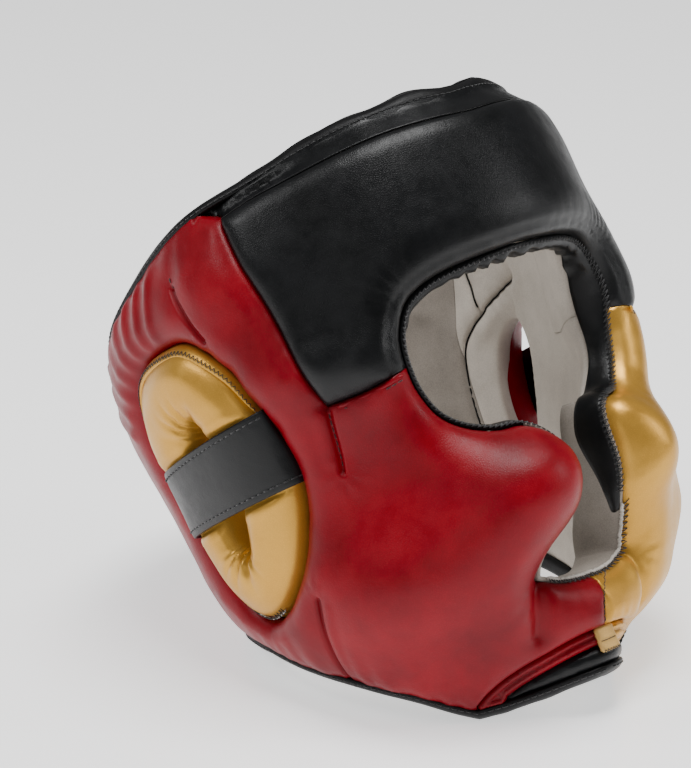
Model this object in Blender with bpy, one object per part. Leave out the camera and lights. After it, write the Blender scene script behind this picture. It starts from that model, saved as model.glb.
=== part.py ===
"""Padded boxing headgear with cheek, chin and ear pads, standing on its lower rim.

Every piece is laid out on a flat pattern that wraps round the head. A point of the pattern has an
angle from the middle of the face, positive towards the wearer's left, and a height above the ear
hole. Its depth is measured inwards from the plain outer form, so a bulge has a depth below zero.
The head frame has x to the wearer's left, y to the back and z up, in millimetres. At the end the
whole headgear is pitched back on its neck rim, set on the ground and scaled to metres.
"""
import math
from collections import namedtuple

import bmesh
import bpy
import numpy as np
from mathutils import geometry

for old_object in list(bpy.data.objects):
    bpy.data.objects.remove(old_object)

METRES = 0.001                 # metres in a millimetre
PITCH_BACK = 22.5              # degrees that the face tips up as the headgear stands
SQUASH = 2.4                   # how far the neck binding is flattened where it rests
ARC = 1.75                     # pattern width of one degree round the head
BACK = 180.0                   # angle of the middle of the back

GAP = 0.3                      # clear space between two pieces
FACING_GAP = 1.3               # clear space between the padding and the lining behind it
PAD = 27.0                     # padding and lining together, from the plain form inwards
LINING = 2.7                   # suede lining
RIM_PINCH = 6.0                # how much the crown and neck rims are thinned from inside
RIM_REACH = 30.0               # how far up or down from a rim that thinning runs
GUSSET = 2.0                   # leather strip round the eye opening
GUSSET_CROWN = 0.8             # how far its middle swells into the opening
GUSSET_TUCK = 0.6              # how far its outer edge sits under the panels' rounded edge
GUSSET_TOP, GUSSET_END = -15.0, -52.0   # heights between which the gusset narrows to nothing
STRAP = 2.2                    # ear strap leather
STRAP_RISE = 1.0               # how far the strap's middle stands above the plain form
STRAP_SINK = 3.5               # how deep its two ends run under the edge of the ear opening
CLOSURE = 3.0                  # closure strap across the back
CLOSURE_LIFT = 1.2             # its clear space over the leather
EDGE_STEP = 9.0                # spacing of points along the pattern's edges
FINE, COARSE = 12.5, 15.0      # spacing of points over an outer and an inner face
EDGE_RINGS = (2.8, 7.5)        # rows of points kept inside each rounded edge
SLIVER = 1e-4                  # area of a triangle that has no width, along a straight edge

# The plain outer form. Front and back reach from the axis through the ears.
Section = namedtuple("Section", "height half_width front back")
SECTIONS = (
    Section(-135, 56, 62, 60),
    Section(-110, 71, 73, 78),
    Section(-80, 84, 87, 88),
    Section(-45, 92, 96, 99),
    Section(-10, 96, 97, 112),
    Section(25, 101.5, 103, 123),
    Section(60, 103, 103.5, 126),
    Section(95, 94.5, 95.5, 117),
    Section(140, 76, 80, 97),
)
FRONT_POWER, BACK_POWER = 1.87, 2.1    # superellipse powers of the two halves
LEAN = 5.5                     # degrees that the soft mouth gap leans to the wearer's left
LEAN_HEIGHT, LEAN_REACH, LEAN_ANGLE = -34.0, 34.0, 42.0    # where the lean is greatest, and its spread

# Places where the padding swells past the plain form, on both sides of the face.
Bulge = namedtuple("Bulge", "name angle height angle_spread height_spread lift")
BULGES = (
    Bulge("cheekbone", 24, -27, 19, 22, 14.0),
    Bulge("jowl", 45, -54, 27, 24, 12.5),
    Bulge("brow", 48, 36, 26, 14, 6.0),
    Bulge("jaw", 66, -62, 22, 20, 2.5),
    Bulge("temple", 78, 82, 14, 14, 2.5),
)

# How a panel ends at each kind of edge: its clearance, how deep the leather has rounded over by
# the edge, and the width of that rounding.
Edge = namedtuple("Edge", "inset drop width")
EDGES = {
    "seam": Edge(GAP / 2, 3.6, 9.0),
    "crest": Edge(GAP / 2, 9.0, 14.0),
    "opening": Edge(GUSSET + GAP, 11.5, 20.0),
    "rim": Edge(GAP / 2, 7.0, 24.0),
    "ear": Edge(GAP / 2, 8.5, 13.0),
}

# The pattern's lines on the wearer's left half, as (angle, height) points. The right half mirrors
# them.
Line = namedtuple("Line", "edge points")
LINES = {
    "brow": Line("opening", [
        (0, 62), (11, 61), (20, 59.5), (27, 57), (33, 52), (36, 44), (37, 37), (37, 30)]),
    "cheek": Line("opening", [
        (37, 30), (36, 20), (33, 9), (28, 2), (22, -2), (16, -3), (11.5, -8), (9, -18), (8.5, -31),
        (9.5, -41), (12.5, -48), (16, -54), (18, -60), (18, -65)]),
    "mouth": Line("opening", [(18, -65), (12, -68), (6, -69), (0, -69)]),
    "chin_seam": Line("seam", [(0, -69), (0, -91)]),
    "chin_low": Line("seam", [(0, -91), (10, -92), (20, -95), (30, -98), (38, -101.5), (44, -105)]),
    "cup_top": Line("seam", [(0, -98), (10, -99), (20, -101), (30, -103), (38, -105), (44, -106.5)]),
    "jaw_upper": Line("seam", [(44, -105), (44, -106.5)]),
    "jaw_lower": Line("seam", [(44, -106.5), (44, -108.5)]),
    "cup_low": Line("rim", [(0, -106), (10, -106.5), (20, -107.5), (32, -108.5), (44, -108.5)]),
    "neck_side": Line("rim", [
        (44, -108.5), (52, -103.5), (62, -96), (72, -89.5), (83, -82.5), (96, -75), (110, -66.5)]),
    "neck_back": Line("rim", [
        (110, -66.5), (125, -62.3), (140, -60.3), (155, -58.3), (168, -56.6), (180, -55.8)]),
    "back_seam": Line("seam", [(180, -55.8), (180, 40)]),
    "crown_back": Line("rim", [
        (180, 40), (165, 42), (150, 46), (138, 53.5), (128, 66), (120, 76.5), (110, 86), (101, 92.5)]),
    "crown_side": Line("rim", [(101, 92.5), (89, 100), (77, 106.5)]),
    "crown_front": Line("rim", [
        (77, 106.5), (66, 111.5), (52, 117.5), (37, 122), (22, 124.5), (10, 125), (0, 124.5)]),
    "temple_top": Line("seam", [(75, 103), (77, 106.5)]),
    "crest": Line("crest", [
        (0, 118.5), (10, 119), (22, 118.8), (32, 117.5), (44, 114.5), (56, 110.5), (66, 107), (75, 103)]),
    "temple": Line("seam", [(58, 23), (62, 45), (66, 67), (71, 87), (75, 103)]),
    "cheek_seam": Line("seam", [(37, 30), (48, 25), (58, 23)]),
    "lining_seam": Line("seam", [
        (110, -66.5), (110, -36), (114, 0), (116, 28), (112, 56), (106, 76), (101, 92.5)]),
    "lining_chin": Line("seam", [(0, -69), (0, -106)]),
}

# The ear opening and the hole through the ear pad, as closed lines.
EAR_OPENING = [
    (91, 58.5), (101, 58.5), (111, 53), (117.5, 43), (120, 28), (119.5, 5), (117.5, -18), (113, -38),
    (107, -51), (99, -57), (89, -52), (80, -39), (74.5, -22), (71.5, -3), (72.5, 14), (76, 30), (81, 46)]
EAR_HOLE = [
    (95, 29), (101, 26), (103, 10), (102.5, -8), (99.5, -24), (94, -29), (89.5, -22), (89, -5), (90, 15)]
LINING_HOLE = [
    (94, 30), (101, 22), (104, 4), (102, -16), (96, -30), (89, -22), (86, -4), (86, 14), (89, 26)]

# Section of the ear pad from the ear opening (share 0) to the hole (share 1) and back inside.
EarPoint = namedtuple("EarPoint", "share depth")
EAR_OUTSIDE = (
    EarPoint(0.00, 9.5), EarPoint(0.07, 4.0), EarPoint(0.24, -0.5), EarPoint(0.45, -2.0),
    EarPoint(0.68, -0.5), EarPoint(0.90, 4.5), EarPoint(1.00, 11.0),
)
EarBack = namedtuple("EarBack", "share rise")           # rise above the back of the padding
EAR_INSIDE = (EarBack(0.98, 6.0), EarBack(0.80, 1.2), EarBack(0.45, 0.0), EarBack(0.00, 0.0))
EAR_STATIONS = 34
STRAP_CORNERS = ((118.2, 9), (116.2, -18), (73.0, -3), (76.0, 26.5))   # on the pattern, back end first
STRAP_DENT = 2.3               # how far the ear pad stays under the strap
STRAP_SLOPE = 0.9              # steepness of the dent's sides

# Creases (lift below zero) and ridges of the side panels.
Fold = namedtuple("Fold", "name start end width lift")
FOLDS = [
    Fold("cheek dart", (58, 22), (59, 0), 4.0, -3.4),
    Fold("jaw dart", (75, -52), (80, -84), 4.5, -3.2),
    Fold("temple dart", (93, 86), (85, 60), 4.5, -2.6),
    Fold("chin crease", (23, -66), (24, -90), 5.0, -3.5),
]
RIB_COUNT = 7                          # gathered ribs between the ear opening and the crown
RIB_CENTRE = (95, 5)
RIB_FIRST, RIB_LAST = 78.0, 2.0        # directions of the first and the last rib
RIB_START, RIB_LENGTH = 58.0, 25.0
RIB_WIDTH, RIB_LIFT = 3.6, 1.8

# Section of a folded binding: distance past the panels' edge, and depth.
BINDING = ((GAP, 5.4), (3.6, 4.6), (5.6, 7.2), (5.8, 12.8), (5.4, 18.0), (GAP, 20.4))
TRIM_DEPTH, TRIM_DOME = 10.5, 1.6      # narrow strip between the forehead pad and the binding
CUP_DEPTH = 6.0                        # how far the chin cup sits under the plain form
STRIP_DEPTH = 6.0                      # the same for the strips above it
CLOSURE_HALF_ANGLE, CLOSURE_LOW, CLOSURE_HIGH, CLOSURE_CORNER = 27.0, -18.0, 26.0, 4.0
TAB_HALF_ANGLE, TAB_LOW, TAB_HIGH, TAB_CORNER = 3.2, -101.0, -91.5, 1.0
TAB_DEPTH, TAB_THICK = 3.2, 2.0

COLOURS = {
    "red_leather": ("#A3202E", 0.42, 0.0),
    "gold_leather": ("#C79A4E", 0.36, 0.25),
    "black_leather": ("#17181B", 0.45, 0.0),
    "grey_suede": ("#8E8880", 0.92, 0.0),
    "black_tape": ("#141416", 0.6, 0.0),
}


def smooth_at(x, xs, ys):
    """Read a smooth curve through the table points (xs, ys) at x."""
    xs, ys = np.asarray(xs, float), np.asarray(ys, float)
    slopes = np.gradient(ys, xs)
    x = np.clip(x, xs[0], xs[-1])
    i = np.clip(np.searchsorted(xs, x) - 1, 0, len(xs) - 2)
    span = xs[i + 1] - xs[i]
    t = (x - xs[i]) / span
    start = (1 + 2 * t) * (1 - t) ** 2 * ys[i] + t * (1 - t) ** 2 * span * slopes[i]
    return start + t * t * (3 - 2 * t) * ys[i + 1] - t * t * (1 - t) * span * slopes[i + 1]


def plain_radius(angle, height):
    """Distance of the plain outer form from the head's upright axis."""
    columns = [np.array(column, float) for column in zip(*SECTIONS)]
    heights, half_widths, fronts, backs = columns
    turn = np.radians(angle)
    side, fore = np.abs(np.sin(turn)), np.cos(turn)
    half_width = smooth_at(height, heights, half_widths)
    reach = np.where(fore > 0, smooth_at(height, heights, fronts), smooth_at(height, heights, backs))
    power = np.where(fore > 0, FRONT_POWER, BACK_POWER)
    return ((side / half_width) ** power + (np.abs(fore) / reach) ** power) ** (-1 / power)


def half_turn(angle):
    """Angle from the middle of the face without its side, from 0 to 180."""
    return np.abs((np.asarray(angle, float) + BACK) % (2 * BACK) - BACK)


def swell(flat):
    """How far the padding stands past the plain form at points of the pattern."""
    angle, height = half_turn(flat[:, 0] / ARC), flat[:, 1]
    total = np.zeros(len(flat))
    for bulge in BULGES:
        across = (angle - bulge.angle) / bulge.angle_spread
        up = (height - bulge.height) / bulge.height_spread
        total += bulge.lift * np.exp(-across ** 2 - up ** 2)
    return total


def place(flat, depth):
    """Head-frame points for pattern points at a depth under the plain form."""
    flat = np.atleast_2d(np.asarray(flat, float))
    angle, height = flat[:, 0] / ARC, flat[:, 1]
    spread = (half_turn(angle) / LEAN_ANGLE) ** 2 + ((height - LEAN_HEIGHT) / LEAN_REACH) ** 2
    angle = angle + LEAN * np.exp(-spread)
    radius = plain_radius(angle, height) - depth
    turn = np.radians(angle)
    return np.column_stack([radius * np.sin(turn), -radius * np.cos(turn), height])


def resample(points, step):
    """Points a step apart along a line, with both of its ends kept."""
    lengths = np.concatenate([[0], np.cumsum(np.hypot(*np.diff(points, axis=0).T))])
    count = max(1, round(lengths[-1] / step))
    marks = np.linspace(0, lengths[-1], count + 1)
    return np.column_stack([np.interp(marks, lengths, points[:, k]) for k in (0, 1)])


def curve(points, step, closed=False):
    """A smooth line through (angle, height) points, as pattern points a step apart."""
    flat = np.array([(angle * ARC, height) for angle, height in points], float)
    if len(flat) == 2:
        return resample(flat, step)
    if closed:
        padded = np.vstack([flat[-1], flat, flat[:2]])
    else:
        padded = np.vstack([2 * flat[0] - flat[1], flat, 2 * flat[-1] - flat[-2]])
    rows = []
    for i in range(1, len(padded) - 2):
        before, here, after, beyond = padded[i - 1:i + 3]
        for t in np.linspace(0, 1, 12, endpoint=False):
            bend = (2 * before - 5 * here + 4 * after - beyond) * t ** 2
            twist = (3 * here - before - 3 * after + beyond) * t ** 3
            rows.append(here + 0.5 * ((after - before) * t + bend + twist))
    rows.append(padded[-2])
    line = resample(np.array(rows), step)
    return line[:-1] if closed else line


LINE_POINTS = {name: curve(line.points, EDGE_STEP) for name, line in LINES.items()}


def path(*names):
    """Join named lines end to end, a leading minus running one backwards; also their edge kinds."""
    points, kinds = [], []
    for name in names:
        line = LINE_POINTS[name.lstrip("-")]
        if name.startswith("-"):
            line = line[::-1]
        points.extend(line if not points else line[1:])
        kinds.extend([LINES[name.lstrip("-")].edge] * (len(line) - 1))
    return np.array(points), kinds


def mirrored(points, centre=0.0):
    """Pattern points reflected in the upright line at an angle, in reverse order."""
    return np.column_stack([2 * centre * ARC - points[:, 0], points[:, 1]])[::-1]


def both_halves(half, centre=0.0):
    """A closed outline from its left half, which starts and ends on the centre line."""
    points, kinds = half
    return np.vstack([points, mirrored(points, centre)[1:-1]]), kinds + kinds[::-1]


def inset(points, kinds):
    """Move each side of a closed outline inwards by its edge's clearance."""
    count = len(points)
    moved = []
    for i in range(count):
        sides = []
        for j in (i - 1, i):
            start, end = points[j % count], points[(j + 1) % count]
            along = (end - start) / np.hypot(*(end - start))
            inward = np.array([-along[1], along[0]])
            sides.append((along, inward, EDGES[kinds[j % count]].inset))
        (along_a, in_a, gap_a), (along_b, in_b, gap_b) = sides
        sine = along_a[0] * along_b[1] - along_a[1] * along_b[0]
        if abs(sine) < 0.35:
            inward = in_a + in_b
            moved.append(points[i] + inward / np.hypot(*inward) * (gap_a + gap_b) / 2)
        else:
            corner = np.linalg.solve(np.array([in_a, in_b]), np.array([gap_a, gap_b]))
            moved.append(points[i] + corner)
    return np.array(moved)


def inside(points, outline):
    """Which points lie within a closed outline."""
    result = np.zeros(len(points), bool)
    for start, end in zip(outline, np.roll(outline, -1, axis=0)):
        crosses = (start[1] > points[:, 1]) != (end[1] > points[:, 1])
        rise = end[1] - start[1] if end[1] != start[1] else 1.0
        reach = start[0] + (points[:, 1] - start[1]) / rise * (end[0] - start[0])
        result ^= crosses & (points[:, 0] < reach)
    return result


def distance(points, starts, ends):
    """Shortest distance from each point to a set of straight sides."""
    along = ends - starts
    offset = points[:, None, :] - starts[None, :, :]
    share = np.clip((offset * along).sum(2) / (along ** 2).sum(1), 0, 1)
    nearest = offset - share[:, :, None] * along[None, :, :]
    return np.sqrt((nearest ** 2).sum(2)).min(1)


def edge_drop(points, loops, kinds):
    """Depth by which the leather has rounded over near the edges of a panel."""
    deepest = np.zeros(len(points))
    for kind, edge in EDGES.items():
        starts, ends = [], []
        for loop, loop_kinds in zip(loops, kinds):
            chosen = [i for i, name in enumerate(loop_kinds) if name == kind]
            starts.extend(loop[chosen])
            ends.extend(np.roll(loop, -1, axis=0)[chosen])
        if starts:
            near = np.clip(distance(points, np.array(starts), np.array(ends)) / edge.width, 0, 1)
            deepest = np.maximum(deepest, edge.drop * (1 - np.sqrt(1 - (1 - near) ** 2)))
    return deepest


def rib_folds():
    """The fan of gathered ribs behind and above the ear."""
    ribs = []
    for k in range(RIB_COUNT):
        direction = math.radians(RIB_FIRST + (RIB_LAST - RIB_FIRST) * k / (RIB_COUNT - 1))
        ends = []
        for reach in (RIB_START, RIB_START + RIB_LENGTH):
            angle = RIB_CENTRE[0] + reach * math.cos(direction) / ARC
            ends.append((angle, RIB_CENTRE[1] + reach * math.sin(direction)))
        ribs.append(Fold("rib %d" % k, ends[0], ends[1], RIB_WIDTH, RIB_LIFT))
    return ribs


ALL_FOLDS = FOLDS + rib_folds()


def fold_line(fold):
    """A fold's two ends on the pattern."""
    return np.array([(angle * ARC, height) for angle, height in (fold.start, fold.end)])


def fold_lift(flat):
    """Height of the creases and ribs at points of the pattern, for either side."""
    near = np.column_stack([half_turn(flat[:, 0] / ARC) * ARC, flat[:, 1]])
    total = np.zeros(len(flat))
    for fold in ALL_FOLDS:
        line = fold_line(fold)
        away = distance(near, line[:1], line[1:])
        total += fold.lift * np.exp(-(away / fold.width) ** 2)
    return total


def fold_points(side):
    """Rows of pattern points along every crease and rib."""
    rows = []
    for fold in ALL_FOLDS:
        line = fold_line(fold)
        along = resample(line, EDGE_STEP)
        across = np.array([line[0, 1] - line[1, 1], line[1, 0] - line[0, 0]])
        across = across / np.hypot(*across) * fold.width * 1.5
        rows.extend([along, along + across, along - across])
    return np.vstack(rows) * (side, 1)


def thin_out(points, placed, clear):
    """The points that stay clear of those placed before and of each other."""
    kept = list(placed)
    fresh = []
    for point in points:
        others = np.array(kept) - point
        if np.hypot(others[:, 0], others[:, 1]).min() >= clear:
            kept.append(point)
            fresh.append(point)
    return fresh


def lattice(loops, spacing, rings, extra):
    """Pattern points for one face of a panel: its edges, rows inside them, folds and a grid."""
    sides = [(loop, np.roll(loop, -1, axis=0)) for loop in loops]
    starts = np.vstack([start for start, end in sides])
    ends = np.vstack([end for start, end in sides])
    points = list(starts)

    def clear_inside(candidates, margin):
        candidates = candidates[inside(candidates, loops[0])]
        for hole in loops[1:]:
            candidates = candidates[~inside(candidates, hole)]
        return candidates[distance(candidates, starts, ends) >= margin] if len(candidates) else candidates

    for reach in rings:
        row = []
        for start, end in sides:
            along = end - start
            along /= np.hypot(along[:, 0], along[:, 1])[:, None]
            inward = np.column_stack([-along[:, 1], along[:, 0]])
            inward = inward + np.roll(inward, 1, axis=0)
            inward /= np.hypot(inward[:, 0], inward[:, 1])[:, None]
            row.append(start + inward * reach)
        row = clear_inside(np.vstack(row), reach * 0.93)
        points += thin_out(row, points, min(reach, 6.0) * 0.8)
    if len(extra):
        points += thin_out(clear_inside(extra, 3.0), points, 2.6)
    low, high = loops[0].min(0), loops[0].max(0)
    columns = np.arange(low[0], high[0] + spacing, spacing)
    grid = []
    for k, up in enumerate(np.arange(low[1], high[1] + spacing, spacing * 0.87)):
        shift = spacing / 2 if k % 2 else 0.0
        grid.extend((column + shift, up) for column in columns)
    margin = spacing * 0.55 + (rings[-1] if rings else 0.0)
    grid = clear_inside(np.array(grid), margin)
    points += thin_out(grid, points, spacing * 0.62)
    return np.array(points)


def triangles(points, loops):
    """Triangles over the pattern inside the first outline and outside the holes."""
    edges, first = [], 0
    for loop in loops:
        count = len(loop)
        edges += [(first + i, first + (i + 1) % count) for i in range(count)]
        first += count
    result = geometry.delaunay_2d_cdt([tuple(point) for point in points], edges, [], 0, 1e-6)
    corners, faces = np.array([tuple(vert) for vert in result[0]]), result[2]
    spots = np.array([corners[list(face)] for face in faces])
    across, up = spots[:, 1] - spots[:, 0], spots[:, 2] - spots[:, 0]
    areas = np.abs(across[:, 0] * up[:, 1] - across[:, 1] * up[:, 0]) / 2
    centres = spots.mean(1)
    keep = inside(centres, loops[0]) & (areas > SLIVER)
    for hole in loops[1:]:
        keep &= ~inside(centres, hole)
    return [tuple(face) for face, wanted in zip(faces, keep) if wanted]


def rank(flat):
    """An order of pattern points in which two pieces that share a seam split its walls alike."""
    return half_turn(flat[:, 0] / ARC) * ARC + flat[:, 1] / 2


PIECES = []


def add_piece(name, points, faces, colour):
    """Keep a closed piece, in head-frame points, until the headgear is stood up."""
    PIECES.append((name, np.asarray(points, float), faces, colour))


def panel(name, loops, outer, inner, colour, fine=FINE, rings=EDGE_RINGS, extra=()):
    """A padded panel: an outer face, an inner face and the walls that join them at the edges."""
    front = lattice(loops, fine, rings, extra)
    rear = lattice(loops, COARSE, (), ())
    front_faces, rear_faces = triangles(front, loops), triangles(rear, loops)
    points = np.vstack([place(front, outer(front)), place(rear, inner(rear))])
    offset = len(front)
    faces = list(front_faces)
    faces += [tuple(offset + i for i in reversed(face)) for face in rear_faces]
    first = 0
    for loop in loops:
        count = len(loop)
        order = rank(loop)
        for i in range(count):
            j = (i + 1) % count
            a, b = first + i, first + j
            if order[i] < order[j]:
                faces += [(b, a, offset + b), (a, offset + a, offset + b)]
            else:
                faces += [(b, a, offset + a), (b, offset + a, offset + b)]
        first += count
    add_piece(name, points, faces, colour)


def sweep(name, line, section, colour, closed):
    """A strip whose section(point) gives (distance to the right of the line, depth) corners."""
    ahead, behind = np.roll(line, -1, axis=0), np.roll(line, 1, axis=0)
    if not closed:
        ahead[-1], behind[0] = line[-1], line[0]
    along = ahead - behind
    along[:, 0] = (along[:, 0] + BACK * ARC) % (2 * BACK * ARC) - BACK * ARC
    along /= np.hypot(along[:, 0], along[:, 1])[:, None]
    right = np.column_stack([along[:, 1], -along[:, 0]])
    points = []
    for station, outward in zip(line, right):
        corners = section(station)
        depths = np.array([depth for away, depth in corners])
        points.extend(place([station + outward * away for away, depth in corners], depths))
    size, stations = len(corners), len(line)
    order = rank(line)
    faces = []
    for i in range(stations if closed else stations - 1):
        j = (i + 1) % stations
        here, after = i * size, j * size
        for k in range(size):
            m = (k + 1) % size
            if (depths[k] < depths[m]) == (order[i] < order[j]):
                faces += [(here + k, here + m, after + m), (here + k, after + m, after + k)]
            else:
                faces += [(here + k, here + m, after + k), (here + m, after + m, after + k)]
    if not closed:
        last = (stations - 1) * size
        faces += [(0, k + 1, k) for k in range(1, size - 1)]
        faces += [(last, last + k, last + k + 1) for k in range(1, size - 1)]
    add_piece(name, points, faces, colour)


def rim_height(line_names, angle):
    """Height of the crown or the neck rim at an angle."""
    points = np.vstack([LINE_POINTS[name] for name in line_names])
    points = points[np.argsort(points[:, 0])]
    return np.interp(half_turn(angle) * ARC, points[:, 0], points[:, 1])


CROWN_LINES = ("crown_front", "crown_side", "crown_back")
NECK_LINES = ("cup_low", "neck_side", "neck_back")


def hollow_depth(flat):
    """Depth of the lining's inner face, which comes out towards the crown and neck rims."""
    angle = flat[:, 0] / ARC
    pinch = np.zeros(len(flat))
    for away in (rim_height(CROWN_LINES, angle) - flat[:, 1], flat[:, 1] - rim_height(NECK_LINES, angle)):
        pinch += (1 - np.clip(away / RIM_REACH, 0, 1)) ** 2
    return PAD - RIM_PINCH * np.minimum(pinch, 1)


def backing_depth(flat):
    """Depth of the inner face of the padding."""
    return hollow_depth(flat) - LINING - FACING_GAP


def leather_depth(loops, kinds):
    """Depth function of a padded panel's outer face."""
    return lambda flat: edge_drop(flat, loops, kinds) - swell(flat)


def folded_depth(loops, kinds):
    """The same with the creases and ribs of a side panel."""
    return lambda flat: edge_drop(flat, loops, kinds) - swell(flat) - fold_lift(flat)


def turned(points, side):
    """A left outline for the given side: itself for +1, and mirrored for -1."""
    return points if side > 0 else mirrored(points)


def turned_kinds(kinds, side):
    """Edge kinds that belong to the outline that turned() gives."""
    return kinds if side > 0 else kinds[-2::-1] + kinds[-1:]


def closed_half(names, side):
    """Closed outline, inset for its gaps, of a piece that lies on one side."""
    points, kinds = path(*names)
    points, kinds = turned(points[:-1], side), turned_kinds(kinds, side)
    return inset(points, kinds), kinds


def oval(points, side):
    """A closed line as a hole on the given side, run clockwise so that its inward side is leather."""
    line = curve(points, EDGE_STEP, closed=True)
    area = np.sum(line[:, 0] * np.roll(line[:, 1], -1) - np.roll(line[:, 0], -1) * line[:, 1])
    clockwise = line if area < 0 else line[::-1]
    return clockwise if side > 0 else mirrored(clockwise)


def side_panel(name, side, colour):
    """Cheek, jaw, side and back of one side in one leather, open at the ear."""
    outline, kinds = closed_half(
        ("chin_low", "jaw_upper", "jaw_lower", "neck_side", "neck_back", "back_seam", "crown_back",
         "crown_side", "-temple_top", "-temple", "-cheek_seam", "cheek", "mouth", "chin_seam"), side)
    ear = oval(EAR_OPENING, side)
    ear_kinds = ["ear"] * len(ear)
    loops = [outline, inset(ear, ear_kinds)]
    depth = folded_depth(loops, [kinds, ear_kinds])
    panel(name, loops, depth, backing_depth, colour, extra=fold_points(side))


def forehead_pad():
    """The black pad across the brow from temple to temple."""
    outline, kinds = both_halves(path("brow", "cheek_seam", "temple", "-crest"))
    loops = [inset(outline, kinds)]
    panel("forehead_pad", loops, leather_depth(loops, [kinds]), backing_depth, "black_leather")


def crown_trim():
    """The narrow strip between the forehead pad's crest and the crown binding."""
    outline, kinds = both_halves(path("crest", "temple_top", "crown_front"))
    loops = [inset(outline, kinds)]

    def strip_depth(flat):
        edges = loops[0], np.roll(loops[0], -1, axis=0)
        return TRIM_DEPTH - np.minimum(distance(flat, *edges), TRIM_DOME)

    panel("crown_trim", loops, strip_depth, backing_depth, "black_leather", fine=COARSE, rings=(2.2,))


def ear_pad(name, side, colour):
    """The puffed ring that fills the ear opening, dented where the strap crosses it."""
    outer = oval(EAR_OPENING, side)
    outer = outer + (outer.mean(0) - outer) * GAP / np.hypot(*(outer - outer.mean(0)).T)[:, None]
    hole = oval(EAR_HOLE, side)
    middle = hole.mean(0)
    rounds = []
    for line in (outer, hole):
        bearing = np.unwrap(np.arctan2(line[:, 1] - middle[1], line[:, 0] - middle[0]))[::-1]
        line = line[::-1]
        rounds.append((np.append(bearing, bearing[0] + 2 * math.pi), np.vstack([line, line[:1]])))
    points, size = [], len(EAR_OUTSIDE) + len(EAR_INSIDE)
    for k in range(EAR_STATIONS):
        bearing = 2 * math.pi * k / EAR_STATIONS
        ends = []
        for bearings, line in rounds:
            wrapped = bearings[0] + (bearing - bearings[0]) % (2 * math.pi)
            ends.append(np.array([np.interp(wrapped, bearings, line[:, axis]) for axis in (0, 1)]))
        for corner in EAR_OUTSIDE:
            flat = ends[0] + (ends[1] - ends[0]) * corner.share
            points.extend(place(flat, max(corner.depth, strap_floor(flat, side))))
        for corner in EAR_INSIDE:
            flat = ends[0] + (ends[1] - ends[0]) * corner.share
            points.extend(place(flat, backing_depth(flat[None, :])[0] - corner.rise))
    faces = []
    for k in range(EAR_STATIONS):
        here, after = k * size, (k + 1) % EAR_STATIONS * size
        for i in range(size):
            j = (i + 1) % size
            faces += [(here + i, after + i, after + j), (here + i, after + j, here + j)]
    add_piece(name, points, faces, colour)


def strap_outline(side):
    """Closed outline of the ear strap, whose corners lie just inside the ear opening."""
    corners = np.array([(angle * ARC, height) for angle, height in STRAP_CORNERS[::-1]])
    corners = turned(corners, side)
    ends = np.roll(corners, -1, axis=0)
    return np.vstack([resample(np.array(pair), EDGE_STEP)[:-1] for pair in zip(corners, ends)])


def strap_depth(flat):
    """Depth of the strap's outer face, highest midway between its two ends."""
    angles = half_turn(np.atleast_2d(flat)[:, 0] / ARC)
    back_end, front_end = STRAP_CORNERS[0][0], STRAP_CORNERS[2][0]
    share = np.abs(2 * (angles - front_end) / (back_end - front_end) - 1)
    return STRAP_SINK * np.minimum(share, 1.0) ** 4 - STRAP_RISE


def strap_floor(flat, side):
    """Least depth of the ear pad at a point, which the strap holds down where it crosses."""
    outline = strap_outline(side)
    point = np.array([flat])
    away = 0.0 if inside(point, outline)[0] else distance(point, outline, np.roll(outline, -1, axis=0))[0]
    spread = max(0.0, away - STRAP_DENT)
    return strap_depth(flat)[0] + STRAP + GAP + STRAP_DENT - spread * STRAP_SLOPE


def ear_strap(name, side):
    """The flat strap across the ear pad."""
    panel(name, [strap_outline(side)], strap_depth, lambda flat: strap_depth(flat) + STRAP,
          "black_leather", fine=EDGE_STEP, rings=())


def lining_piece(name, loops):
    """A suede panel on the inner face of the padding."""
    panel(name, loops, lambda flat: hollow_depth(flat) - LINING, hollow_depth, "grey_suede",
          fine=COARSE, rings=())


def side_lining(name, side):
    """The lining of one cheek and side, open at the ear pad."""
    outline, kinds = closed_half(
        ("cup_low", "neck_side", "lining_seam", "crown_side", "-temple_top", "-temple", "-cheek_seam",
         "cheek", "mouth", "lining_chin"), side)
    lining_piece(name, [outline, oval(LINING_HOLE, side)])


def face_gusset():
    """The strip that faces the padding's thickness round the eyes, widest at the brow."""
    points, kinds = path("brow", "cheek")
    line = np.vstack([mirrored(points)[:-1], points])
    line = line[line[:, 1] > GUSSET_END + 1]

    def section(station):
        flat = station[None, :]
        fade = np.clip((GUSSET_TOP - station[1]) / (GUSSET_TOP - GUSSET_END), 0, 1)
        inner = hollow_depth(flat)[0]
        outer = EDGES["opening"].drop - swell(flat)[0] + GUSSET_TUCK
        outer = outer + (inner - 4.0 - outer) * fade
        middle = (outer + inner) / 2
        return [(-GUSSET, outer), (0.0, outer + 0.4), (GUSSET_CROWN, middle), (0.0, inner - 0.3),
                (-GUSSET, inner)]

    sweep("face_gusset", line, section, "black_leather", closed=False)


def rim_binding(name, names, section):
    """A folded tape that closes the panels' edges all round the crown or the neck."""
    points, kinds = path(*names)
    line = np.vstack([points, mirrored(points)[1:-1]])
    sweep(name, line, lambda station: section, "black_tape", closed=True)


def chin_strip(name, side, colour):
    """The narrow folded strip under one half of the chin bar."""
    names = ("cup_top", "-jaw_upper", "-chin_low")
    points, kinds = path(*names)
    outline, kinds = turned(points, side), turned_kinds(kinds + ["seam"], side)
    loops = [inset(outline, kinds)]
    panel(name, loops, lambda flat: np.full(len(flat), STRIP_DEPTH), backing_depth, colour,
          fine=COARSE, rings=())


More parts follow.
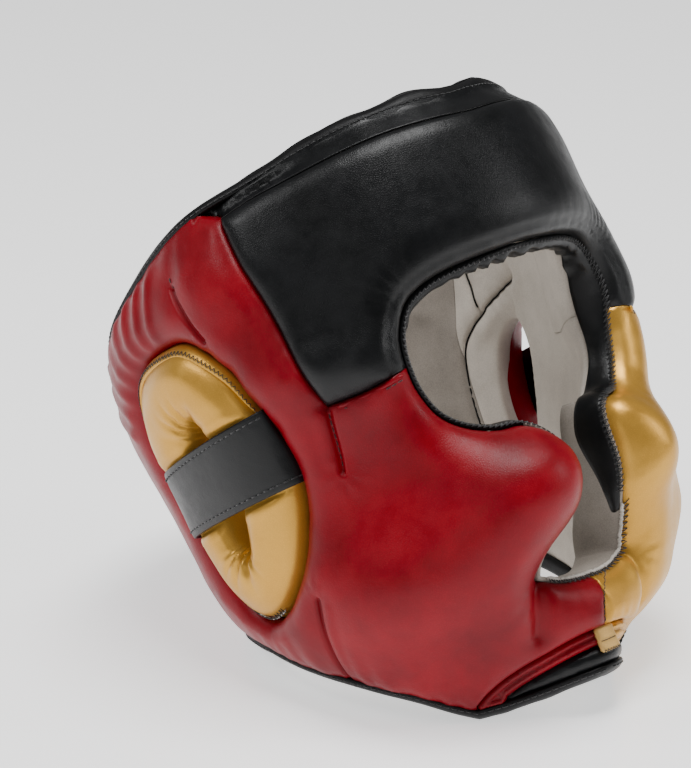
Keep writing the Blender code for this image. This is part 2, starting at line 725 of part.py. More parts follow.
def chin_cup():
    """The black cup under the chin."""
    outline, kinds = both_halves(path("cup_low", "-jaw_lower", "-cup_top"))
    loops = [inset(outline, kinds)]

    def depth(flat):
        edges = loops[0], np.roll(loops[0], -1, axis=0)
        return CUP_DEPTH + 3.0 - 1.5 * np.minimum(distance(flat, *edges), 2.0)

    panel("chin_cup", loops, depth, backing_depth, "black_leather", fine=COARSE, rings=(2.4,))


def patch(name, centre, half_angle, low, high, outer, inner, colour, corner):
    """A plain patch with clipped corners that lies over other pieces."""
    half = half_angle * ARC
    corners = [(-half + corner, low), (half - corner, low), (half, low + corner), (half, high - corner),
               (half - corner, high), (-half + corner, high), (-half, high - corner), (-half, low + corner)]
    loop = np.array([(centre * ARC + across, up) for across, up in corners])
    sides = [resample(np.array([start, end]), EDGE_STEP)[:-1]
             for start, end in zip(loop, np.roll(loop, -1, axis=0))]
    loops = [np.vstack(sides)]
    panel(name, loops, lambda flat: np.full(len(flat), outer), lambda flat: np.full(len(flat), inner),
          colour, fine=COARSE, rings=())


def linear(value):
    """One sRGB channel as a linear value."""
    return value / 12.92 if value <= 0.04045 else ((value + 0.055) / 1.055) ** 2.4


def finish(name, colour):
    """A Principled material for one piece."""
    code, roughness, metallic = COLOURS[colour]
    channels = [linear(int(code[k:k + 2], 16) / 255) for k in (1, 3, 5)]
    material = bpy.data.materials.new(name + "_" + colour)
    material.use_nodes = True
    shader = material.node_tree.nodes["Principled BSDF"]
    shader.inputs["Base Color"].default_value = (*channels, 1.0)
    shader.inputs["Roughness"].default_value = roughness
    shader.inputs["Metallic"].default_value = metallic
    return material


def stand_up():
    """Pitch the pieces back, rest them on the ground, centre them and make their objects."""
    turn = math.radians(PITCH_BACK)
    pitch = np.array([[1, 0, 0],
                      [0, math.cos(turn), math.sin(turn)],
                      [0, -math.sin(turn), math.cos(turn)]])
    posed = [(name, points @ pitch.T, faces, colour) for name, points, faces, colour in PIECES]
    everything = np.vstack([points for name, points, faces, colour in posed])
    low, high = everything.min(0), everything.max(0)
    shift = np.array([(low[0] + high[0]) / 2, (low[1] + high[1]) / 2, low[2] + SQUASH])
    for name, points, faces, colour in posed:
        points = points - shift
        points[:, 2] = np.maximum(points[:, 2], 0.0)
        mesh = bpy.data.meshes.new(name)
        mesh.from_pydata((points * METRES).tolist(), [], faces)
        work = bmesh.new()
        work.from_mesh(mesh)
        bmesh.ops.recalc_face_normals(work, faces=work.faces[:])
        work.to_mesh(mesh)
        work.free()
        mesh.shade_smooth()
        mesh.materials.append(finish(name, colour))
        piece = bpy.data.objects.new(name, mesh)
        bpy.context.scene.collection.objects.link(piece)


def headgear():
    """Make every piece."""
    forehead_pad()
    crown_trim()
    side_panel("right_shell", -1, "red_leather")
    side_panel("left_shell", 1, "gold_leather")
    ear_pad("right_ear_pad", -1, "gold_leather")
    ear_pad("left_ear_pad", 1, "red_leather")
    ear_strap("right_ear_strap", -1)
    ear_strap("left_ear_strap", 1)
    face_gusset()
    outline, kinds = both_halves(path("brow", "cheek_seam", "temple", "temple_top", "crown_front"))
    lining_piece("forehead_lining", [inset(outline, kinds)])
    side_lining("right_lining", -1)
    side_lining("left_lining", 1)
    outline, kinds = both_halves(path("crown_back", "-lining_seam", "neck_back"), BACK)
    lining_piece("back_lining", [inset(outline, kinds)])
    chin_strip("right_chin_strip", -1, "red_leather")
    chin_strip("left_chin_strip", 1, "gold_leather")
    chin_cup()
    patch("chin_tab", 0, TAB_HALF_ANGLE, TAB_LOW, TAB_HIGH, TAB_DEPTH, TAB_DEPTH + TAB_THICK,
          "gold_leather", corner=TAB_CORNER)
    patch("closure_strap", BACK, CLOSURE_HALF_ANGLE, CLOSURE_LOW, CLOSURE_HIGH,
          -CLOSURE - CLOSURE_LIFT, -CLOSURE_LIFT, "black_tape", corner=CLOSURE_CORNER)
    rim_binding("neck_binding", ("cup_low", "neck_side", "neck_back"), BINDING)
    rim_binding("crown_binding", ("crown_back", "crown_side", "crown_front"), BINDING)
    stand_up()


headgear()
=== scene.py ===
"""Looks of a padded boxing headgear: coated leather, suede lining, folded tape, straps and thread.

The pieces are laid out on the same flat pattern as the solids, with much finer spacing. A point of
the pattern has an angle from the middle of the face, positive towards the wearer's left, and a
height above the ear hole. Its depth is measured inwards from the plain outer form. Lengths are in
millimetres until a piece is stood up and scaled to metres.
"""

import math
from collections import namedtuple

import bmesh
import bpy
import numpy as np
from mathutils import Matrix, Vector, geometry, noise


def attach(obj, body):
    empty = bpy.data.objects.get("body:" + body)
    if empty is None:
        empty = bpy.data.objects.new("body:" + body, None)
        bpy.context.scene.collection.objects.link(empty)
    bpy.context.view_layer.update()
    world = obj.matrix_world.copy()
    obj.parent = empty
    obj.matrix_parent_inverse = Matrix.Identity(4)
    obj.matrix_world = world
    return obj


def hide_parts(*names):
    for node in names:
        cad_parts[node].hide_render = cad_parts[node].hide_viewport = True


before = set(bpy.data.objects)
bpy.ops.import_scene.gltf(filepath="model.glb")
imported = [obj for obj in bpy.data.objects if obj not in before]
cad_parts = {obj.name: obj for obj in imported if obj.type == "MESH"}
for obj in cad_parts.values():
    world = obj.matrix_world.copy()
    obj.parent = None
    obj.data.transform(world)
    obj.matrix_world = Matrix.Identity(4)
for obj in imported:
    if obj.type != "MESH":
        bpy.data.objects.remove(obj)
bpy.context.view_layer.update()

METRES = 0.001
PITCH_BACK = 22.5
STAND_SHIFT = np.array([0.0, 9.0407, -89.0021])    # from the pitched head frame to the ground
ARC = 1.75                     # pattern width of one degree round the head
BACK = 180.0                   # angle of the middle of the back

GAP = 0.3                      # clear space between two pieces
FACING_GAP = 1.3               # clear space between the padding and the lining behind it
PAD = 27.0                     # padding and lining together, from the plain form inwards
LINING = 2.7                   # thickness of the suede lining
RIM_PINCH, RIM_REACH = 6.0, 30.0        # thinning of the padding towards the crown and the neck
BACKING = 12.5                 # from the hollow out to the padding's hidden inner face
LINING_BACK = 10.2             # from the hollow out to the lining's hidden outer face
GUSSET = 2.0                   # thickness of the strip round the eye opening
GUSSET_INNER = 6.3             # from the hollow out to that strip's inner edge
GUSSET_TOP, GUSSET_END = -15.0, -52.0   # heights between which the strip narrows to nothing
STRAP = 2.2                    # thickness of the ear strap
STRAP_RISE, STRAP_SINK, STRAP_TUCK = 3.2, 3.6, 9.0    # its middle, its ends and their tucked edges
STRAP_SPARE = 0.9              # clear space that the ear pad keeps under it
CLOSURE, CLOSURE_LIFT = 3.0, 1.2        # thickness of the closure strap, and its clear space
TAPE_BACK = 4.2                # how much deeper the crown's tape lies at the front

STEP = 2.2                     # spacing of points along an edge
FINE, COARSE = 1.7, 12.0       # spacing of points over a visible and a hidden face
RINGS = (0.7, 1.7)             # rows of points kept inside each rounded edge

Section = namedtuple("Section", "height half_width front back")
SECTIONS = (
    Section(-135, 56, 62, 60),
    Section(-110, 71, 73, 78),
    Section(-80, 84, 87, 88),
    Section(-45, 92, 96, 99),
    Section(-10, 96, 97, 112),
    Section(25, 101.5, 103, 123),
    Section(60, 103, 103.5, 126),
    Section(95, 94.5, 95.5, 117),
    Section(140, 76, 80, 97),
)
FRONT_POWER, BACK_POWER = 1.87, 2.1
LEAN = 5.5
LEAN_HEIGHT, LEAN_REACH, LEAN_ANGLE = -34.0, 34.0, 42.0

Bulge = namedtuple("Bulge", "name angle height angle_spread height_spread lift")
BULGES = (
    Bulge("cheekbone", 24, -27, 19, 22, 14.0),
    Bulge("jowl", 45, -54, 27, 24, 12.5),
    Bulge("brow", 48, 36, 26, 14, 6.0),
    Bulge("jaw", 66, -62, 22, 20, 2.5),
    Bulge("temple", 78, 82, 14, 14, 2.5),
)

# How a panel ends at each kind of edge, and how much its stitching gathers the leather there.
Edge = namedtuple("Edge", "inset drop width gather pitch")
EDGES = {
    "seam": Edge(0.15, 3.6, 9.0, 0.22, 8.0),
    "crest": Edge(0.15, 3.2, 7.0, 0.1, 13.0),
    "opening": Edge(GUSSET + GAP, 11.5, 20.0, 0.08, 7.0),
    "rim": Edge(-2.6, 7.0, 26.0, 0.5, 12.0),
    "flush": Edge(0.15, 0.4, 2.0, 0.0, 10.0),
    "ear": Edge(0.15, 8.5, 13.0, 0.4, 14.0),
}

# Small turns (degrees), rises and lifts that bring the padding closer to the photograph than the
# solids do. The angle has its sign here, so one side can differ from the other.
Nudge = namedtuple("Nudge", "angle height angle_spread height_spread turn rise lift")
NUDGES = (
    Nudge(34, 28, 13, 15, 0.6, -1.4, 0.0),
    Nudge(52, 30, 13, 15, 0.0, -2.3, -1.5),
    Nudge(20, -10, 13, 15, 3.1, -0.8, 2.0),
    Nudge(12, -35, 13, 15, 1.7, 0.2, 0.0),
    Nudge(16, -60, 13, 15, -2.3, -0.4, -3.5),
    Nudge(42, 5, 13, 13, 0.0, 0.0, 4.0),
    Nudge(36, -50, 16, 17, 0.0, 0.0, -6.2),
    Nudge(31, -23, 12, 11, 0.0, 0.0, -2.2),
    Nudge(40, -84, 14, 9, 0.0, 0.0, 2.4),
    Nudge(-92, 102, 26, 15, 0.0, 2.8, 1.5),
    Nudge(92, 102, 26, 15, 0.0, 2.8, 1.5),
    Nudge(-130, 66, 22, 18, 0.0, 2.0, 2.0),
    Nudge(130, 66, 22, 18, 0.0, 2.0, 2.0),
    Nudge(47, 40, 16, 14, 0.0, 0.0, -1.8),
    Nudge(47, 18, 10, 10, 0.0, 0.0, 1.8),
    Nudge(45, 76, 18, 18, 0.0, 0.0, -2.6),
    Nudge(36, -106, 18, 12, 0.0, 0.0, -11.0),
    Nudge(0, -106, 15, 12, 0.0, 1.0, 11.0),
    Nudge(-14, -20, 13, 15, 1.9, 1.0, 1.8),
    Nudge(-17, -66, 13, 15, -0.6, 1.4, -0.6),
)

Line = namedtuple("Line", "edge points")
LINES = {
    "brow": Line("opening", [
        (0, 62), (11, 61), (20, 59.5), (27, 57), (33, 52), (36, 44), (37, 37), (37, 30)]),
    "cheek": Line("opening", [
        (37, 30), (36, 20), (33, 9), (28, 2), (22, -2), (16, -3), (11.5, -8), (9, -18), (8.5, -31),
        (9.5, -41), (12.5, -48), (16, -54), (18, -60), (18, -65)]),
    "mouth": Line("opening", [(18, -65), (12, -68), (6, -69), (0, -69)]),
    "chin_seam": Line("seam", [(0, -69), (0, -91)]),
    "chin_low": Line("seam", [(0, -91), (10, -92), (20, -95), (30, -98.5), (38, -103), (44, -108)]),
    "cup_top": Line("seam", [(0, -98), (10, -99.5), (20, -102.5), (28, -105.5), (34, -108.4)]),
    "jaw": Line("seam", [(44, -108), (44, -108.5)]),
    "cup_low": Line("rim", [(0, -106), (10, -106.5), (20, -107.5), (34, -108.4)]),
    "fold_low": Line("rim", [(34, -108.4), (44, -108.5)]),
    "neck_side": Line("rim", [
        (44, -108.5), (52, -103.5), (62, -96), (72, -89.5), (83, -82.5), (96, -75), (110, -66.5)]),
    "neck_back": Line("rim", [
        (110, -66.5), (125, -62.3), (140, -60.3), (155, -58.3), (168, -56.6), (180, -55.8)]),
    "back_seam": Line("seam", [(180, -55.8), (180, 40)]),
    "crown_back": Line("rim", [
        (180, 40), (165, 42), (150, 46), (138, 53.5), (128, 66), (120, 76.5), (110, 86), (101, 92.5)]),
    "crown_side": Line("rim", [(101, 92.5), (92, 98.2), (82.5, 103.7)]),
    "crown_front": Line("rim", [
        (82.5, 103.7), (76, 107), (66, 111.5), (52, 117.5), (37, 122), (22, 124.5), (10, 125),
        (0, 124.5)]),
    "temple_top": Line("seam", [(75, 101), (82.5, 103.7)]),
    "crest": Line("crest", [
        (0, 118.5), (10, 119), (22, 118.8), (32, 117.5), (44, 114.5), (56, 110.5), (66, 106.5),
        (75, 101)]),
    "temple": Line("seam", [(58, 23), (62, 45), (66, 67), (71, 86.5), (75, 101)]),
    "cheek_seam": Line("seam", [(37, 30), (48, 25), (58, 23)]),
    "lining_seam": Line("flush", [
        (110, -66.5), (110, -36), (114, 0), (116, 28), (112, 56), (106, 76), (101, 92.5)]),
    "lining_chin": Line("seam", [(0, -69), (0, -106)]),
}
EAR_OPENING = [
    (91, 58.5), (101, 58.5), (111, 53), (117.5, 43), (120, 28), (119.5, 5), (117.5, -18),
    (113, -38), (107, -51), (99, -57), (89, -52), (80, -39), (74.5, -22), (71.5, -3), (72.5, 14),
    (76, 30), (81, 46)]
# The hole of the wearer's right ear ring, in view, is pulled narrower than that of the left one.
RIGHT_HOLE = [
    (95, 26), (98.5, 23), (100.5, 10), (100.5, -8), (98, -22), (95, -26), (92.5, -20), (92, -4),
    (92.5, 14)]
LEFT_HOLE = [
    (95, 29), (101, 26), (103, 10), (102.5, -8), (99.5, -24), (94, -29), (89.5, -22), (89, -5),
    (90, 15)]
LINING_HOLE = [
    (94, 30), (101, 22), (104, 4), (102, -16), (96, -30), (89, -22), (86, -4), (86, 14), (89, 26)]

# Depth of the ear ring's outside, from its outer edge (share 0) to its hole (share 1), and how far
# its inside stands out from the back of the ring.
EarPoint = namedtuple("EarPoint", "share depth")
EAR_OUTSIDE = (
    EarPoint(0.00, 9.5), EarPoint(0.07, 4.0), EarPoint(0.24, -0.8), EarPoint(0.48, -2.6),
    EarPoint(0.72, -1.6), EarPoint(0.88, 2.0), EarPoint(0.95, 6.5), EarPoint(1.00, 14.0),
)
EAR_INSIDE = (
    EarPoint(0.99, 7.0), EarPoint(0.95, 3.6), EarPoint(0.85, 1.4), EarPoint(0.5, 0.0),
    EarPoint(0.0, 0.0),
)
EAR_STATIONS, EAR_ROWS = 480, 30        # points round the ring, and from its edge to its hole
STRAP_CORNERS = ((120.5, 8), (118.5, -19), (69.5, -3), (73.0, 28.0))    # back end first
STRAP_SLOPE = 1.6              # how fast the ear pad rises again beside the strap

# Creases (lift below zero) and ridges of the side panels, drawn sharper than in the solids.
Fold = namedtuple("Fold", "name start end width lift")
FOLDS = [
    Fold("cheek dart", (58, 22), (59.5, -3), 1.1, -2.6),
    Fold("cheek dart hollow", (58, 20), (59, 4), 7.0, -1.6),
    Fold("cheek dart lip", (60.4, 20), (61.4, 2), 2.6, 0.9),
    Fold("jaw dart", (75, -50), (80.5, -86), 1.1, -2.6),
    Fold("jaw dart hollow", (75, -54), (80, -84), 7.0, -1.5),
    Fold("jaw dart lip", (73, -54), (78, -84), 2.8, 0.9),
    Fold("temple dart", (91.5, 81), (84, 59), 1.1, -2.4),
    Fold("temple dart hollow", (92, 84), (85, 62), 6.0, -1.0),
    Fold("chin crease", (20, -65), (21.5, -86), 4.2, -3.2),
    Fold("chin crease hollow", (23, -68), (24, -86), 8.0, -1.6),
]
RIB_COUNT = 8
RIB_CENTRE = (95, 5)
RIB_FIRST, RIB_LAST = 80.0, 22.0
RIB_START, RIB_LENGTH = 60.0, 22.0
RIB_WIDTH, RIB_LIFT = 2.6, 0.85

# Fans of small wrinkles: where they start, how far they reach, how many go round, their height, and
# the middle and half-width of the directions that they fill, in degrees.
Pucker = namedtuple("Pucker", "name angle height start reach count lift facing spread")
SHELL_PUCKERS = (
    Pucker("cheek dart end", 59.6, -5, 2.0, 6.0, 9, 0.55, -90, 110),
    Pucker("jaw dart end", 74.8, -48, 2.0, 6.0, 9, 0.5, 90, 110),
    Pucker("temple dart end", 83.6, 56, 2.0, 6.0, 8, 0.4, -90, 110),
    Pucker("mouth corner", 19, -66, 2.0, 9.0, 16, 0.45, -10, 80),
    Pucker("mouth corner folds", 20, -70, 6.0, 10.0, 9, 0.35, -10, 75),
)
BROW_PUCKERS = (
    Pucker("brow corner", 31, 50, 7.0, 16.0, 26, 0.45, 50, 60),
)
EAR_PUCKERS = (
    Pucker("hole top", 97, 20, 2.0, 10.0, 14, 2.3, 70, 85),
    Pucker("hole top wrinkles", 97, 20, 2.0, 6.0, 27, 0.5, 75, 75),
    Pucker("hole bottom", 96, -23, 2.0, 11.0, 13, 2.3, -80, 75),
    Pucker("hole bottom wrinkles", 96, -23, 2.0, 7.0, 25, 0.5, -75, 65),
)


# Rows of straight stitches, and zigzags between two lines. The thread is drawn a little thicker
# than the real one, which is about 0.3 mm across, so that its rows show.
Stitch = namedtuple("Stitch", "pitch length lift radius")
STITCHES = {
    "strap": Stitch(3.3, 2.5, 0.28, 0.26),
    "lip": Stitch(2.6, 1.9, 0.25, 0.24),
    "dart": Stitch(2.8, 2.1, 0.22, 0.24),
    "tape": Stitch(3.0, 2.2, 0.3, 0.22),
    "closure": Stitch(3.4, 2.6, 0.3, 0.28),
}
Zigzag = namedtuple("Zigzag", "pitch radius")
ZIGZAGS = {
    "ear lip": Zigzag(2.2, 0.19),
    "ear foot": Zigzag(2.0, 0.19),
    "gusset": Zigzag(2.3, 0.26),
    "mouth": Zigzag(2.6, 0.26),
    "chin seam": Zigzag(2.4, 0.24),
    "tab foot": Zigzag(1.3, 0.16),
    "tab slit": Zigzag(1.2, 0.16),
}


def smooth_at(x, xs, ys):
    """Read a smooth curve through the table points (xs, ys) at x."""
    xs, ys = np.asarray(xs, float), np.asarray(ys, float)
    slopes = np.gradient(ys, xs)
    x = np.clip(x, xs[0], xs[-1])
    i = np.clip(np.searchsorted(xs, x) - 1, 0, len(xs) - 2)
    span = xs[i + 1] - xs[i]
    t = (x - xs[i]) / span
    start = (1 + 2 * t) * (1 - t) ** 2 * ys[i] + t * (1 - t) ** 2 * span * slopes[i]
    return start + t * t * (3 - 2 * t) * ys[i + 1] - t * t * (1 - t) * span * slopes[i + 1]


def plain_radius(angle, height):
    """Distance of the plain outer form from the head's upright axis."""
    heights, half_widths, fronts, backs = [np.array(column, float) for column in zip(*SECTIONS)]
    turn = np.radians(angle)
    side, fore = np.abs(np.sin(turn)), np.cos(turn)
    half_width = smooth_at(height, heights, half_widths)
    reach = np.where(fore > 0, smooth_at(height, heights, fronts), smooth_at(height, heights, backs))
    power = np.where(fore > 0, FRONT_POWER, BACK_POWER)
    return ((side / half_width) ** power + (np.abs(fore) / reach) ** power) ** (-1 / power)


def half_turn(angle):
    """Angle from the middle of the face without its side, from 0 to 180."""
    return np.abs((np.asarray(angle, float) + BACK) % (2 * BACK) - BACK)


def swell(flat):
    """How far the padding stands past the plain form."""
    angle, height = half_turn(flat[:, 0] / ARC), flat[:, 1]
    total = np.zeros(len(flat))
    for bulge in BULGES:
        across = (angle - bulge.angle) / bulge.angle_spread
        up = (height - bulge.height) / bulge.height_spread
        total += bulge.lift * np.exp(-across ** 2 - up ** 2)
    return total


def place(flat, depth):
    """Head-frame points for pattern points at a depth under the plain form."""
    flat = np.atleast_2d(np.asarray(flat, float))
    angle, height = flat[:, 0] / ARC, flat[:, 1]
    spread = (half_turn(angle) / LEAN_ANGLE) ** 2 + ((height - LEAN_HEIGHT) / LEAN_REACH) ** 2
    angle = angle + LEAN * np.exp(-spread)
    depth = depth * np.ones(len(flat))
    for nudge in NUDGES:
        across = ((flat[:, 0] / ARC - nudge.angle + BACK) % (2 * BACK) - BACK) / nudge.angle_spread
        share = np.exp(-across ** 2 - ((flat[:, 1] - nudge.height) / nudge.height_spread) ** 2)
        angle = angle + nudge.turn * share
        height = height + nudge.rise * share
        depth = depth - nudge.lift * share
    radius = plain_radius(angle, height) - depth
    turn = np.radians(angle)
    return np.column_stack([radius * np.sin(turn), -radius * np.cos(turn), height])


def stand(points):
    """World points, in metres, for head-frame points: pitched back and set on the ground."""
    turn = math.radians(PITCH_BACK)
    pitch = np.array([[1, 0, 0],
                      [0, math.cos(turn), math.sin(turn)],
                      [0, -math.sin(turn), math.cos(turn)]])
    world = np.asarray(points, float) @ pitch.T - STAND_SHIFT
    world[:, 2] = np.maximum(world[:, 2], 0.0)
    return world * METRES


def resample(points, step):
    """Points a step apart along a line, with both of its ends kept."""
    lengths = np.concatenate([[0], np.cumsum(np.sqrt((np.diff(points, axis=0) ** 2).sum(1)))])
    count = max(1, round(lengths[-1] / step))
    marks = np.linspace(0, lengths[-1], count + 1)
    return np.column_stack([np.interp(marks, lengths, points[:, k]) for k in range(points.shape[1])])


def curve(points, step, closed=False):
    """A smooth line through (angle, height) points, as pattern points a step apart."""
    flat = np.array([(angle * ARC, height) for angle, height in points], float)
    if len(flat) == 2:
        return resample(flat, step)
    if closed:
        padded = np.vstack([flat[-1], flat, flat[:2]])
    else:
        padded = np.vstack([2 * flat[0] - flat[1], flat, 2 * flat[-1] - flat[-2]])
    rows = []
    for i in range(1, len(padded) - 2):
        before, here, after, beyond = padded[i - 1:i + 3]
        for t in np.linspace(0, 1, 12, endpoint=False):
            bend = (2 * before - 5 * here + 4 * after - beyond) * t ** 2
            twist = (3 * here - before - 3 * after + beyond) * t ** 3
            rows.append(here + 0.5 * ((after - before) * t + bend + twist))
    rows.append(padded[-2])
    line = resample(np.array(rows), step)
    return line[:-1] if closed else line


LINE_POINTS = {name: curve(line.points, STEP) for name, line in LINES.items()}


def path(*names):
    """Join named lines end to end, a leading minus running one backwards; also their edge kinds."""
    points, kinds = [], []
    for name in names:
        line = LINE_POINTS[name.lstrip("-")]
        if name.startswith("-"):
            line = line[::-1]
        points.extend(line if not points else line[1:])
        kinds.extend([LINES[name.lstrip("-")].edge] * (len(line) - 1))
    return np.array(points), kinds


def mirrored(points, centre=0.0):
    """Pattern points reflected in the upright line at an angle, in reverse order."""
    return np.column_stack([2 * centre * ARC - points[:, 0], points[:, 1]])[::-1]


def both_halves(half, centre=0.0):
    """A closed outline from its left half, which starts and ends on the centre line."""
    points, kinds = half
    return np.vstack([points, mirrored(points, centre)[1:-1]]), kinds + kinds[::-1]


def across_the_face(*names):
    """Open line from the wearer's right to the left through lines that start in the middle."""
    points = path(*names)[0]
    return np.vstack([mirrored(points)[:-1], points])


def inset(points, kinds):
    """A closed outline moved inwards by each side's clearance, and the kinds of the sides left."""
    count = len(points)
    moved = []
    for i in range(count):
        sides = []
        for j in (i - 1, i):
            start, end = points[j % count], points[(j + 1) % count]
            along = (end - start) / np.hypot(*(end - start))
            inward = np.array([-along[1], along[0]])
            sides.append((along, inward, EDGES[kinds[j % count]].inset))
        (along_a, in_a, gap_a), (along_b, in_b, gap_b) = sides
        sine = along_a[0] * along_b[1] - along_a[1] * along_b[0]
        if abs(sine) < 0.35:
            inward = in_a + in_b
            moved.append(points[i] + inward / np.hypot(*inward) * (gap_a + gap_b) / 2)
        else:
            corner = np.linalg.solve(np.array([in_a, in_b]), np.array([gap_a, gap_b]))
            moved.append(points[i] + corner)
    moved = np.array(moved)
    keep = np.ones(count, bool)
    ends = np.roll(points, -1, axis=0)
    corners = np.array([kinds[i] != kinds[i - 1] for i in range(count)])
    for kind in set(kinds):
        same = np.array([name == kind for name in kinds])
        least = np.where(same, EDGES[kind].inset * 0.93, EDGES[kind].inset + 0.6)
        keep &= (distance(moved, points[same], ends[same])[0] > least) | corners
    return moved[keep], [kind for kind, kept in zip(kinds, keep) if kept]


def inside(points, outline):
    """Which points lie within a closed outline."""
    result = np.zeros(len(points), bool)
    for start, end in zip(outline, np.roll(outline, -1, axis=0)):
        crosses = (start[1] > points[:, 1]) != (end[1] > points[:, 1])
        rise = end[1] - start[1] if end[1] != start[1] else 1.0
        reach = start[0] + (points[:, 1] - start[1]) / rise * (end[0] - start[0])
        result ^= crosses & (points[:, 0] < reach)
    return result


def distance(points, starts, ends):
    """Shortest distance from each point to a set of straight sides, and the nearest side."""
    along = ends - starts
    lengths, sides = [], []
    for block in np.array_split(points, len(points) // 1500 + 1):
        offset = block[:, None, :] - starts[None, :, :]
        share = np.clip((offset * along).sum(2) / (along ** 2).sum(1), 0, 1)
        away = ((offset - share[:, :, None] * along[None, :, :]) ** 2).sum(2)
        sides.append(away.argmin(1))
        lengths.append(np.sqrt(away.min(1)))
    return np.concatenate(lengths), np.concatenate(sides)


def from_line(points, line):
    """Distance of each point from an open line."""
    return distance(points, line[:-1], line[1:])[0]


def from_outline(points, outline):
    """Distance of each point from a closed outline."""
    return distance(points, outline, np.roll(outline, -1, axis=0))[0]


def on_one_side(flat):
    """The same pattern points on the wearer's left, for what both sides share."""
    return np.column_stack([half_turn(flat[:, 0] / ARC) * ARC, flat[:, 1]])


def edge_drop(points, loops, kinds):
    """Depth by which the leather has rounded over near a panel's edges, with its small gathers."""
    deepest, gathers = np.zeros(len(points)), np.zeros(len(points))
    for kind, edge in EDGES.items():
        starts, ends, marks = [], [], []
        for loop, loop_kinds in zip(loops, kinds):
            chosen = [i for i, name in enumerate(loop_kinds) if name == kind]
            starts.extend(loop[chosen])
            ends.extend(np.roll(loop, -1, axis=0)[chosen])
            marks.extend(STEP * i for i in chosen)
        if not starts:
            continue
        away, side = distance(points, np.array(starts), np.array(ends))
        near = np.clip(away / edge.width, 0, 1)
        deepest = np.maximum(deepest, edge.drop * (1 - np.sqrt(1 - (1 - near) ** 2)))
        along = np.array(marks)[side]
        drift = 1.7 * np.sin(along / 23) + 0.8 * np.sin(along / 7.3)
        wave = np.sin(2 * math.pi * along / edge.pitch + drift)
        strength = 0.6 + 0.4 * np.sin(along / 31 + 1)
        gathers += edge.gather * wave * strength * np.exp(-(away / (0.55 * edge.width)) ** 2)
    return deepest - gathers


def rib_folds():
    """The fan of gathered ribs behind and above the ear."""
    ribs = []
    for k in range(RIB_COUNT):
        direction = math.radians(RIB_FIRST + (RIB_LAST - RIB_FIRST) * k / (RIB_COUNT - 1))
        ends = []
        for reach in (RIB_START, RIB_START + RIB_LENGTH):
            angle = RIB_CENTRE[0] + reach * math.cos(direction) / ARC
            ends.append((angle, RIB_CENTRE[1] + reach * math.sin(direction)))
        ribs.append(Fold("rib %d" % k, ends[0], ends[1], RIB_WIDTH, RIB_LIFT))
    return ribs


def folds_lift(flat, folds):
    """Height of a set of folds, for either side."""
    near, total = on_one_side(flat), np.zeros(len(flat))
    for fold in folds:
        line = np.array([(angle * ARC, height) for angle, height in (fold.start, fold.end)])
        total += fold.lift * np.exp(-(from_line(near, line) / fold.width) ** 2)
    return total


def fold_lift(flat):
    """Height of the creases and ribs of the side panels."""
    return folds_lift(flat, FOLDS + rib_folds())


def pucker_lift(flat, puckers):
    """Height of the fans of small wrinkles, for either side."""
    total = np.zeros(len(flat))
    for p in puckers:
        across = half_turn(flat[:, 0] / ARC) * ARC - p.angle * ARC
        up = flat[:, 1] - p.height
        reach, bearing = np.hypot(across, up), np.degrees(np.arctan2(up, across))
        turned_by = (bearing - p.facing + 180) % 360 - 180
        window = np.clip(1 - (turned_by / p.spread) ** 2, 0, 1)
        rise = np.clip(reach / p.start, 0, 1) * np.exp(-(np.maximum(reach - p.start, 0) / p.reach) ** 2)
        phase = np.radians(bearing) * p.count + 1.4 * np.sin(np.radians(bearing) * 3 + p.angle)
        total += p.lift * window * rise * (1.6 * np.abs(np.cos(phase / 2)) - 1)
    return total


def unevenness(flat, coarse, fine):
    """Soft irregular height of stuffed leather, from two sizes of noise."""
    result = []
    for across, up in flat:
        slow = noise.noise(Vector((across / 34, up / 34, 0.3)))
        quick = noise.noise(Vector((across / 11, up / 11, 7.1)))
        result.append(coarse * slow + fine * quick)
    return np.array(result)


def spaced(points, clear):
    """The points that have no earlier one within a distance."""
    cells, kept = {}, []
    for point in points:
        cell = (int(point[0] // clear), int(point[1] // clear))
        close = any((point[0] - x) ** 2 + (point[1] - y) ** 2 < clear ** 2
                    for i in (-1, 0, 1) for j in (-1, 0, 1)
                    for x, y in cells.get((cell[0] + i, cell[1] + j), ()))
        if not close:
            cells.setdefault(cell, []).append(point)
            kept.append(point)
    return kept


def close_rows(line, reach):
    """Close rows of pattern points to both sides of a line."""
    along = np.gradient(line, axis=0)
    along /= np.hypot(along[:, 0], along[:, 1])[:, None]
    across = np.column_stack([-along[:, 1], along[:, 0]])
    return np.vstack([line + across * away for away in np.arange(-reach, reach + 0.1, 0.7)])


def dart_points(side):
    """Close rows of pattern points along the sewn darts of one side."""
    rows = []
    for fold in FOLDS:
        if fold.width < 1.5:
            ends = np.array([(angle * ARC * side, height) for angle, height in (fold.start, fold.end)])
            along = (ends[1] - ends[0]) / np.hypot(*(ends[1] - ends[0])) * 2
            rows.append(close_rows(resample(np.array([ends[0] - along, ends[1] + along]), 0.9), 3.0))
    return np.vstack(rows)


def groove_points(side):
    """Close rows of pattern points along the grooves of the suede on one side."""
    rows = [close_rows(curve(points, 1.0), 2.2) for points in (GROOVE, SHORT_SEAM)]
    return np.array(spaced(np.vstack(rows), 0.6)) * (side, 1)


